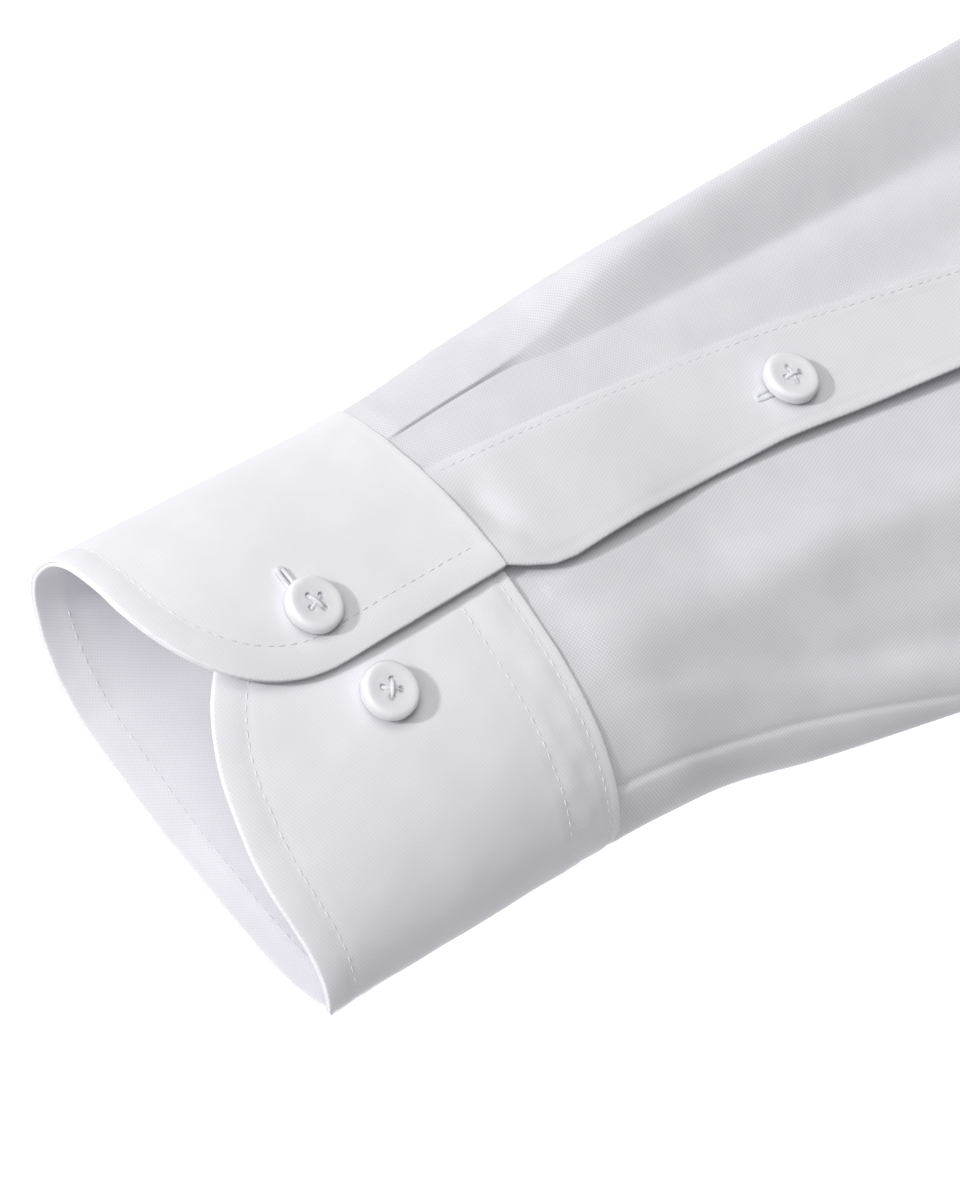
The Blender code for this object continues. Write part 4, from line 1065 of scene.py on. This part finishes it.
sewn(placket, "front_placket")


# ---- Collar --------------------------------------------------------------------------------------
# The collar is a stiff stand buttoned round the neck and a leaf folded down outside it.
STAND_FRONT, STAND_BACK, STAND_LEAN, STAND_LAP = 0.026, 0.040, 0.22, 0.032
STAND_INSET, LAP_STEP, OFF_BAND, BACK_FROM = 0.7 * MM, 2.2 * MM, 0.062, 0.358
STAND_LEVELS, STAND_TURNS = 24, 170
LAP_TURN, LAP_FADE, BAND_FADE, BACK_FADE = 0.055, 0.045, 0.012, 0.025    # turns round the neck
TOP_BEHIND, TOP_FADE = 0.06, 0.18
STAND_WALL, LEAF_WALL = 1.3 * MM, 1.4 * MM
LEAF_BACK, LEAF_POINT, LEAF_START = 0.036, 0.074, 0.034
LEAF_SPREAD = math.radians(30)
LEAF_LIE = (math.radians(12), math.radians(62))
LEAF_LINES, LEAF_COLUMNS, LEAF_RUNS = 150, 40, 34
FRONT_POWER, SPREAD_POWER = 2.2, 3
LEAF_OFF = 1.85              # its wall and some air over what it lies on, in millimetres
LEAF_SOFT = 3.0 * MM

# The leaf's turn over the stand, in millimetres out from the stand's edge and down from the
# crown, then where its fall starts.
LEAF_CROWN, LEAF_TURN = 1.3 * MM, ((-1.2, 1.3), (0.2, 0.2), (1.4, 0.0), (2.8, 0.4))
LEAF_FALL = (3.8, 1.2)


def collar_base(turn):
    """The neck seam in plan, from the centre front round the back and on."""
    return neck_spot(math.tau * turn - math.pi / 2)


def collar_out(turn):
    """The direction out of the neck, in plan."""
    ahead = collar_base(turn + 0.004) - collar_base(turn - 0.004)
    out = np.stack([ahead[..., 1], -ahead[..., 0]], axis=-1)
    return out / np.linalg.norm(out, axis=-1, keepdims=True)


def at_back(turn):
    """0 at the centre front, 1 at the centre back."""
    return np.sin(np.pi * turn) ** 2


def stand_height(turn):
    """How high the stand is, measured up its own face."""
    return mix(STAND_FRONT, STAND_BACK, at_back(turn))


def stand_spot(turn, up):
    """A place on the stand's outer face, so far round and so high."""
    lap = LAP_STEP * np.clip((LAP_TURN - turn) / LAP_FADE, 0, 1)
    flat = collar_base(turn) + collar_out(turn) * (up * STAND_LEAN - STAND_INSET + lap)[..., None]
    from_front = np.minimum(np.abs(turn), np.abs(1 - turn))
    on_band = np.clip((OFF_BAND - from_front) / BAND_FADE, 0, 1)
    behind = mix(np.clip((from_front - BACK_FROM) / BACK_FADE, 0, 1),
                 smooth((from_front - BACK_FROM + TOP_BEHIND) / TOP_FADE),
                 np.clip(up / STAND_BACK, 0, 1))
    floor = mix(body_top(0.0) + BAND_STEP * MM * on_band, 1.0 * MM, behind) + CLOSE
    return np.concatenate([flat, (floor + up)[..., None]], axis=-1)


turns = mix(-STAND_LAP, 1.0, steps(STAND_TURNS))[None, :]
ups = stand_height(turns) * steps(STAND_LEVELS)[:, None]
stand_grid = stand_spot(np.broadcast_to(turns, ups.shape), ups)
stand = cloth_piece("collar_stand_band", stand_grid, STAND_WALL, doubled_cotton, edge=TURNED_EDGE)
sewn(stand, "collar_stand")

leaf_lines = []
for turn in mix(LEAF_START, 1 - LEAF_START, steps(LEAF_LINES)):
    front = (1 - at_back(turn)) ** FRONT_POWER
    out = collar_out(turn)
    sideways = 1.0 if turn < 0.5 else -1.0
    spread = np.array([sideways * math.sin(LEAF_SPREAD), -math.cos(LEAF_SPREAD)])
    away = mix(out, spread, front ** SPREAD_POWER)
    away /= np.linalg.norm(away)
    top = stand_spot(np.array(turn), stand_height(turn))
    crown = top[2] + CLOSE + LEAF_WALL + LEAF_CROWN
    lie, drop = mix(*LEAF_LIE, front), mix(LEAF_BACK, LEAF_POINT, front)
    line = [[*(top[:2] + out * aside * MM), crown - down * MM] for aside, down in LEAF_TURN]
    for run in steps(LEAF_RUNS) * drop:
        flat = top[:2] + out * LEAF_FALL[0] * MM + away * run * math.sin(lie)
        rest = LEAF_OFF * MM
        if front > 0.02:
            rest += body_top(flat[0]) + BAND_STEP * MM
        fall = crown - LEAF_FALL[1] * MM - run * math.cos(lie)
        z = rest
        if fall > rest - 0.02:
            z = (fall + rest + math.hypot(fall - rest, LEAF_SOFT)) / 2
        line.append([*flat, max(z, rest)])
    leaf_lines.append(resampled(np.array(line), LEAF_COLUMNS))
leaf_grid = np.array(leaf_lines)
leaf_up = grid_normals(leaf_grid)
leaf_u, leaf_v = run_lengths(leaf_grid)
leaf_edge = np.minimum(leaf_u[:, -1:] - leaf_u, np.minimum(leaf_v, leaf_v[-1:] - leaf_v)) / MM
leaf_relief = stitch_groove(leaf_edge, EDGE_STITCH, 0.14) * smooth(leaf_u / 0.012)
leaf_grid = leaf_grid + leaf_up * (leaf_relief * MM)[..., None]
leaf = cloth_piece("collar_leaf_fold", leaf_grid, LEAF_WALL, doubled_cotton, edge=TURNED_EDGE)
sewn(leaf, "collar_leaf")


# ---- Buttons --------------------------------------------------------------------------------------
# Four-hole shirt buttons of 18 lignes, turned with a broad rounded rim and a shallow dish,
# in a milky, slightly translucent plastic.  Each is sewn on with crossed thread and a shank.
BUTTON_RADIUS, BUTTON_THICK = 5.6 * MM, 2.2 * MM
HOLE_RADIUS, HOLE_AWAY = 0.72 * MM, 1.75 * MM
SHANK = 1.1 * MM
DISH_STEPS = ((1.35, 0.0), (0.35, -0.03), (0.50, -0.07), (0.60, -0.05), (2.0, 0.0))  # in, up
RIM_ROUNDING = 0.95 * MM
HOLE_TURNS = (45, 135, 225, 315)
STRAND_RADIUS, STRAND_DECK, STRAND_SINK = 0.42 * MM, 0.25 * MM, 0.7 * MM
STRANDS = ((45, 0.10), (135, 0.55))                 # turned so far, arched so high
STRAND_REACH, STRAND_ARCH = 1.05, 0.72
SHANK_RADIUS, SHANK_IN = 2.7 * MM, 1.5 * MM
pearl, tree, shader = new_material("milky_button_plastic")
own = add_node(tree, "ShaderNodeTexCoord", {})
cloudy = add_node(tree, "ShaderNodeTexNoise", {"Scale": 260.0, "Detail": 2.0},
                  [("Vector", own.outputs["Object"])])
milk = add_node(tree, "ShaderNodeMix",
                {"data_type": "RGBA", 6: linear("#E5E5EA"), 7: linear("#EBEBEF")},
                [("Factor", cloudy.outputs["Fac"])])
tree.links.new(milk.outputs[2], shader.inputs["Base Color"])
shader.inputs["Roughness"].default_value = 0.34
shader.inputs["Specular IOR Level"].default_value = 0.45
shader.inputs["Subsurface Weight"].default_value = 0.6
shader.inputs["Subsurface Radius"].default_value = (1.0, 1.0, 1.0)
shader.inputs["Subsurface Scale"].default_value = 1.6 * MM

thread_paint, tree, shader = new_material("white_sewing_thread")
own = add_node(tree, "ShaderNodeTexCoord", {})
twist = add_node(tree, "ShaderNodeTexNoise", {"Scale": 3500.0, "Detail": 1.0},
                 [("Vector", own.outputs["Object"])])
spun = add_node(tree, "ShaderNodeMix",
                {"data_type": "RGBA", 6: linear("#DADAE0"), 7: linear("#E6E6EC")},
                [("Factor", twist.outputs["Fac"])])
tree.links.new(spun.outputs[2], shader.inputs["Base Color"])
shader.inputs["Roughness"].default_value = 0.7


def pick_faces(mesh, wanted):
    """Select the faces of the edited mesh that the test wants."""
    bpy.ops.object.mode_set(mode="OBJECT")
    for face in mesh.polygons:
        face.select = wanted(face)
    bpy.ops.object.mode_set(mode="EDIT")


bpy.ops.object.select_all(action="DESELECT")
bpy.ops.mesh.primitive_cylinder_add(vertices=64, radius=BUTTON_RADIUS, depth=BUTTON_THICK,
                                    location=(0, 0, BUTTON_THICK / 2))
button = bpy.context.object
bpy.ops.object.transform_apply(location=True)
bpy.ops.object.mode_set(mode="EDIT")
bpy.ops.mesh.select_mode(type="FACE")
pick_faces(button.data, lambda face: face.normal.z > 0.9)
for inward, rise in DISH_STEPS:
    bpy.ops.mesh.inset(thickness=inward * MM, depth=rise * MM)
pick_faces(button.data, lambda face: abs(face.normal.z) < 0.1)
bpy.ops.mesh.select_mode(type="EDGE")
bpy.ops.mesh.region_to_loop()
bpy.ops.mesh.bevel(offset=RIM_ROUNDING, segments=8)
bpy.ops.object.mode_set(mode="OBJECT")
for turn in HOLE_TURNS:
    away = (HOLE_AWAY * math.cos(math.radians(turn)), HOLE_AWAY * math.sin(math.radians(turn)), 0)
    bpy.ops.mesh.primitive_cylinder_add(vertices=18, radius=HOLE_RADIUS, depth=4 * BUTTON_THICK,
                                        location=away)
    drill = bpy.context.object
    hole = button.modifiers.new("hole", "BOOLEAN")
    hole.object = drill
    bpy.ops.object.select_all(action="DESELECT")
    bpy.context.view_layer.objects.active = button
    button.select_set(True)
    bpy.ops.object.modifier_apply(modifier="hole")
    bpy.data.objects.remove(drill)
bpy.ops.object.shade_smooth_by_angle(angle=math.radians(35))
button.data.materials.clear()
button.data.materials.append(pearl)
button.name = "button_pattern"

# The crossed thread: two arched strands, each from hole to hole, and the wound shank below.
strands = []
for turn, rise in STRANDS:
    bpy.ops.object.select_all(action="DESELECT")
    bpy.ops.curve.primitive_bezier_curve_add(radius=1.0)
    strand = bpy.context.object
    away = Vector((math.cos(math.radians(turn)), math.sin(math.radians(turn)), 0)) * HOLE_AWAY
    deck = BUTTON_THICK - STRAND_DECK
    for point, side in zip(strand.data.splines[0].bezier_points, (-1, 1)):
        point.handle_left_type = point.handle_right_type = "FREE"
        point.co = away * side * STRAND_REACH + Vector((0, 0, deck - STRAND_SINK))
        over = away * side * STRAND_ARCH + Vector((0, 0, deck + rise * MM))
        point.handle_left = over if side > 0 else point.co
        point.handle_right = over if side < 0 else point.co
    strand.data.bevel_depth = STRAND_RADIUS
    strand.data.bevel_resolution = 2
    strand.data.resolution_u = 8
    bpy.ops.object.convert(target="MESH")
    strands.append(bpy.context.object)
bpy.ops.object.select_all(action="DESELECT")
bpy.ops.mesh.primitive_cylinder_add(vertices=24, radius=SHANK_RADIUS, depth=SHANK + SHANK_IN,
                                    location=(0, 0, (SHANK_IN - SHANK) / 2))
strands.append(bpy.context.object)
for strand in strands:
    strand.select_set(True)
bpy.context.view_layer.objects.active = strands[0]
bpy.ops.object.join()
sewing = bpy.context.object
bpy.ops.object.transform_apply(location=True, rotation=True, scale=True)
bpy.ops.object.shade_smooth()
sewing.data.materials.clear()
sewing.data.materials.append(thread_paint)
sewing.name = "sewing_pattern"


def set_button(name, node, spot, up, turn=0.0, shank=SHANK):
    """A button at a place on the cloth, with its thread; name is its piece's."""
    frame_turn = up.to_track_quat("Z", "Y").to_matrix().to_4x4()
    place = Matrix.Translation(spot + up * shank) @ frame_turn @ Matrix.Rotation(turn, 4, "Z")
    for pattern, piece_name, finish in ((button, name, "pearl_white"),
                                        (sewing, name + "_thread", "white_cotton")):
        made = bpy.data.objects.new(piece_name, pattern.data.copy())
        made.data.transform(place)
        bpy.context.collection.objects.link(made)
        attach(made, "root")
        if pattern is button:
            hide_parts(node)


def on_sleeve(along, across, top):
    """A point of a sleeve's upper cloth and the direction out of it, in the shirt's frame."""
    def point(a, c):
        ring = rings_at(place_of(a))
        return to_shirt((a, c, float(top(ring, share_of(ring, c)))))

    spot, reach = point(along, across), 4.0
    run = point(along + reach, across) - point(along - reach, across)
    span = point(along, across + reach) - point(along, across - reach)
    up = np.cross(run, span)
    return spot, up / np.linalg.norm(up)


# Place along and across, the cloth it lies on, its turn and the length of its shank.
CUFF_BUTTONS = (("cuff_button_end", 32.0, 16.7, upper_height, 1.0, 0.4 * MM),
                ("cuff_button_second", 36.4, -3.1, lap_height, 0.9, SHANK),
                ("gauntlet_button", 152.5, 13.8, gauntlet_height, 1.4, SHANK))
FRONT_BUTTONS, FRONT_FIRST_Y, FRONT_PITCH = 6, 0.212, 0.092
for name, along, across, top, turn, shank in CUFF_BUTTONS:
    spot, up = on_sleeve(along, across, top)
    set_button(name + "_disc_left", name + "_left", Vector(spot), Vector(up), turn, shank)
    set_button(name + "_disc_right", name + "_right", Vector(spot * MIRRORED),
               Vector(up * MIRRORED), -turn, shank)
for k in range(FRONT_BUTTONS):
    set_button(f"front_button_disc_{k + 1}", f"front_button_{k + 1}",
               Vector((0, FRONT_FIRST_Y - FRONT_PITCH * k, band_top * MM)), Vector((0, 0, 1)),
               0.2 + 0.9 * k)
stand_middle = stand_spot(np.array(0.0), np.array(STAND_FRONT / 2))
lean = math.atan(STAND_LEAN)
set_button("collar_button_disc", "collar_button", Vector(stand_middle) + Vector((0, -0.6 * MM, 0)),
           Vector((0, -math.cos(lean), -math.sin(lean))), 0.4)
for pattern in (button, sewing):
    bpy.data.objects.remove(pattern)


# ---- Buttonholes -------------------------------------------------------------------------------------
# A cut bound all round with close thread: two raised lips and a bar across each end.
HOLE_HALF, LIP_AWAY = 6.4, 0.72
LENGTH_POWER, WIDTH_POWER = 0.35, 0.55              # how square its outline is
HOLE_POINTS, LIP_POINTS = 72, 8
LIP_HALF, LIP_RIB, LIP_RISE, LIP_UP = 0.50, 0.05, 0.32, 0.06
HOLE_AHEAD = 0.0015                                 # of its button, up the front


def around_loop(count):
    """So many even angles round a full turn."""
    return np.linspace(0, 2 * math.pi, count + 1)[:-1]


def mirrored_mesh(name, vertices, faces, flip):
    """An object of thread, mirrored to the wearer's right if flip says so."""
    vertices = np.array(vertices)
    if flip:
        vertices, faces = vertices * MIRRORED, [face[::-1] for face in faces]
    return mesh_object(name, vertices, faces, None, thread_paint)


def add_buttonhole(name, spot, up, run, flip):
    """A worked buttonhole at a place on the cloth, its length along run."""
    run = run - up * (run @ up)
    run /= np.linalg.norm(run)
    aside = np.cross(up, run)
    turn = around_loop(HOLE_POINTS)
    long = np.sign(np.cos(turn)) * np.abs(np.cos(turn)) ** LENGTH_POWER * HOLE_HALF
    wide = np.sign(np.sin(turn)) * np.abs(np.sin(turn)) ** WIDTH_POWER * LIP_AWAY
    vertices, faces = [], []
    for k in range(HOLE_POINTS):
        after = (k + 1) % HOLE_POINTS
        ahead = np.array([long[after] - long[k - 1], wide[after] - wide[k - 1]])
        ahead /= np.linalg.norm(ahead)
        side = np.array([ahead[1], -ahead[0]])
        thick = LIP_HALF + LIP_RIB * (k % 2)
        for angle in around_loop(LIP_POINTS):
            flat = np.array([long[k], wide[k]]) + side * math.cos(angle) * thick
            rise = math.sin(angle) * LIP_RISE + LIP_UP
            vertices.append(spot + (run * flat[0] + aside * flat[1] + up * rise) * MM)
        here, there = k * LIP_POINTS, after * LIP_POINTS
        for j in range(LIP_POINTS):
            m = (j + 1) % LIP_POINTS
            faces.append((here + j, here + m, there + m, there + j))
    sewn(mirrored_mesh(name, vertices, faces, flip))


for side in ("left", "right"):
    for name, along, across, top, run in (
            ("cuff_buttonhole_", 31.2, 19.6, upper_height, ACROSS),
            ("gauntlet_buttonhole_", 150.6, 13.8, gauntlet_height, ALONG)):
        spot, up = on_sleeve(along, across, top)
        add_buttonhole(name + side, spot, up, run, side == "right")
for k in range(FRONT_BUTTONS):
    hole_y = FRONT_FIRST_Y + HOLE_AHEAD - FRONT_PITCH * k
    add_buttonhole(f"front_buttonhole_{k + 1}", np.array([0, hole_y, band_top * MM]), UP,
                   np.array([0.0, 1.0, 0.0]), False)


# ---- Topstitching -----------------------------------------------------------------------------------
# White thread, about four stitches to the centimetre, drawn down into the cloth.
STITCH_PITCH, STITCH_LENGTH, STITCH_HALF, STITCH_RISE = 2.4, 1.7, 0.17, 0.16
STITCH_UNEVEN, STITCH_SINK, STITCH_SIDES = 0.06, 0.35, 6
STITCH_SHAPE = ((-1.0, 0.2), (-0.6, 0.85), (0.0, 1.0), (0.6, 0.85), (1.0, 0.2))


def add_stitches(name, lines, pitch=STITCH_PITCH):
    """Stitches along lines of (points, outward directions), in metres: one object for the
    left side and its mirror image for the right."""
    vertices, faces = [], []
    for points, ups in lines:
        reach = np.concatenate([[0.0], np.cumsum(np.linalg.norm(np.diff(points, axis=0), axis=1))])
        for k in range(int(reach[-1] / (pitch * MM))):
            middle = (k + 0.5 + STITCH_UNEVEN * math.sin(k * 2.3)) * pitch * MM
            ends = middle + np.array([-0.5, 0.5]) * STITCH_LENGTH * MM
            a, b = (np.array([np.interp(e, reach, points[:, i]) for i in range(3)]) for e in ends)
            up = np.array([np.interp(middle, reach, ups[:, i]) for i in range(3)])
            centre, half = (a + b) / 2, (b - a) / 2
            side = np.cross(up, half)
            side /= max(np.linalg.norm(side), 1e-12)
            base = len(vertices)
            for shift, size in STITCH_SHAPE:
                for angle in around_loop(STITCH_SIDES):
                    wide = math.cos(angle) * size * STITCH_HALF
                    high = math.sin(angle) * size * 0.9 - STITCH_SINK * (1 - size)
                    vertices.append(centre + half * shift
                                    + (side * wide + up * high * STITCH_RISE) * MM)
            last = base + (len(STITCH_SHAPE) - 1) * STITCH_SIDES
            for low in range(base, last, STITCH_SIDES):
                above = low + STITCH_SIDES
                for j in range(STITCH_SIDES):
                    n = (j + 1) % STITCH_SIDES
                    faces.append((low + j, low + n, above + n, above + j))
            faces.append(tuple(reversed(range(base, base + STITCH_SIDES))))
            faces.append(tuple(range(last, last + STITCH_SIDES)))
    for side in ("left", "right"):
        sewn(mirrored_mesh(name + side, vertices, faces, side == "right"))


def grid_line(grid, rows, columns):
    """Points and outward directions where a path of fractional rows and columns lies."""
    ups = grid_normals(grid)
    rows = np.clip(rows, 0, grid.shape[0] - 1.001)
    columns = np.clip(columns, 0, grid.shape[1] - 1.001)
    r, c = rows.astype(int), columns.astype(int)
    tr, tc = (rows - r)[:, None], (columns - c)[:, None]

    def sample(field):
        near, far = (mix(field[row, c], field[row, c + 1], tc) for row in (r, r + 1))
        return mix(near, far, tr)

    return sample(grid), sample(ups)


def on_cuff(run, down):
    """A stitched line on the cuff, from millimetres round it and down from its mouth."""
    girth = cuff_run[0]
    columns = np.interp(run, girth, np.arange(len(girth)))
    cut = np.interp(columns, np.arange(len(girth)), cuff_down[0])
    rows = (down - cut) / (CUFF_DEPTH - cut) * (cuff_run.shape[0] - 1)
    return grid_line(cuff_grid, rows, columns)


# Round the cuff's free edges, then the seam's two lines, then the far side of the edge's line,
# which shows inside the mouth.
LINE_END, LINE_MIDDLE, LINE_POINTS = 60, 300, 400
LOWER_PLY_FREE = 62.0                # hidden under the lap, so not stitched
INSIDE_LINE = (12.0, 19.973)         # short of the inner fold, and off the button end
girth = cuff_run[0, -1]
inner_corner = CORNER - EDGE_STITCH
bend = np.linspace(0, math.pi / 2, 40)
first_end = np.concatenate([np.full(LINE_END, EDGE_STITCH), CORNER - inner_corner * np.cos(bend)])
first_down = np.concatenate([np.linspace(CUFF_DEPTH - 2, CORNER, LINE_END),
                             CORNER - inner_corner * np.sin(bend)])
line_run = np.concatenate([first_end, np.linspace(CORNER, girth - CORNER, LINE_MIDDLE),
                           (girth - first_end)[::-1]])
line_down = np.concatenate([first_down, np.full(LINE_MIDDLE, EDGE_STITCH), first_down[::-1]])
cuff_lines = [on_cuff(line_run, line_down)]
for line, _ in SEAM_STITCHES:
    run = np.linspace(EDGE_STITCH, girth - LOWER_PLY_FREE, LINE_POINTS)
    cuff_lines.append(on_cuff(run, np.full(LINE_POINTS, CUFF_DEPTH - line)))
inner_fold = np.argmax(cuff_flat[-1, :, 1])
inside_run = np.linspace(cuff_run[0, inner_fold] - INSIDE_LINE[0], INSIDE_LINE[1], 200)
inner_points, inner_ups = on_cuff(inside_run, np.full(200, EDGE_STITCH))
cuff_lines.append((inner_points - inner_ups * CUFF_WALL * MM, -inner_ups))
add_stitches("cuff_topstitching_", cuff_lines)

rows = np.arange(6, gauntlet_rows - 3).astype(float)
width_now = np.interp(rows, np.arange(gauntlet_rows), strip_width.mean(axis=1))
stitched_in = GAUNTLET_STITCH / width_now * (gauntlet_columns - 1)
add_stitches("gauntlet_topstitching_", [grid_line(gauntlet_grid, rows, stitched_in)])

band_rows = np.linspace(2, BAND_ROWS - 3, LINE_POINTS)
stitch_column = np.interp(-BAND_WIDTH / 2 + EDGE_STITCH, band_x[0] / MM, np.arange(BAND_COLUMNS))
band_line = grid_line(band_grid, band_rows, np.full(LINE_POINTS, stitch_column))
add_stitches("placket_topstitching_", [band_line], 3.0)

leaf_rows = np.linspace(0, LEAF_LINES - 1, 500)
leaf_long = np.interp(leaf_rows, np.arange(LEAF_LINES), leaf_u[:, -1])
leaf_columns = (LEAF_COLUMNS - 1) * (1 - EDGE_STITCH * MM / leaf_long)
leaf_half = slice(16, len(leaf_rows) // 2)          # from the point's end to the centre back
leaf_line = [line[leaf_half] for line in grid_line(leaf_grid, leaf_rows, leaf_columns)]
add_stitches("collar_topstitching_", [leaf_line], 2.6)
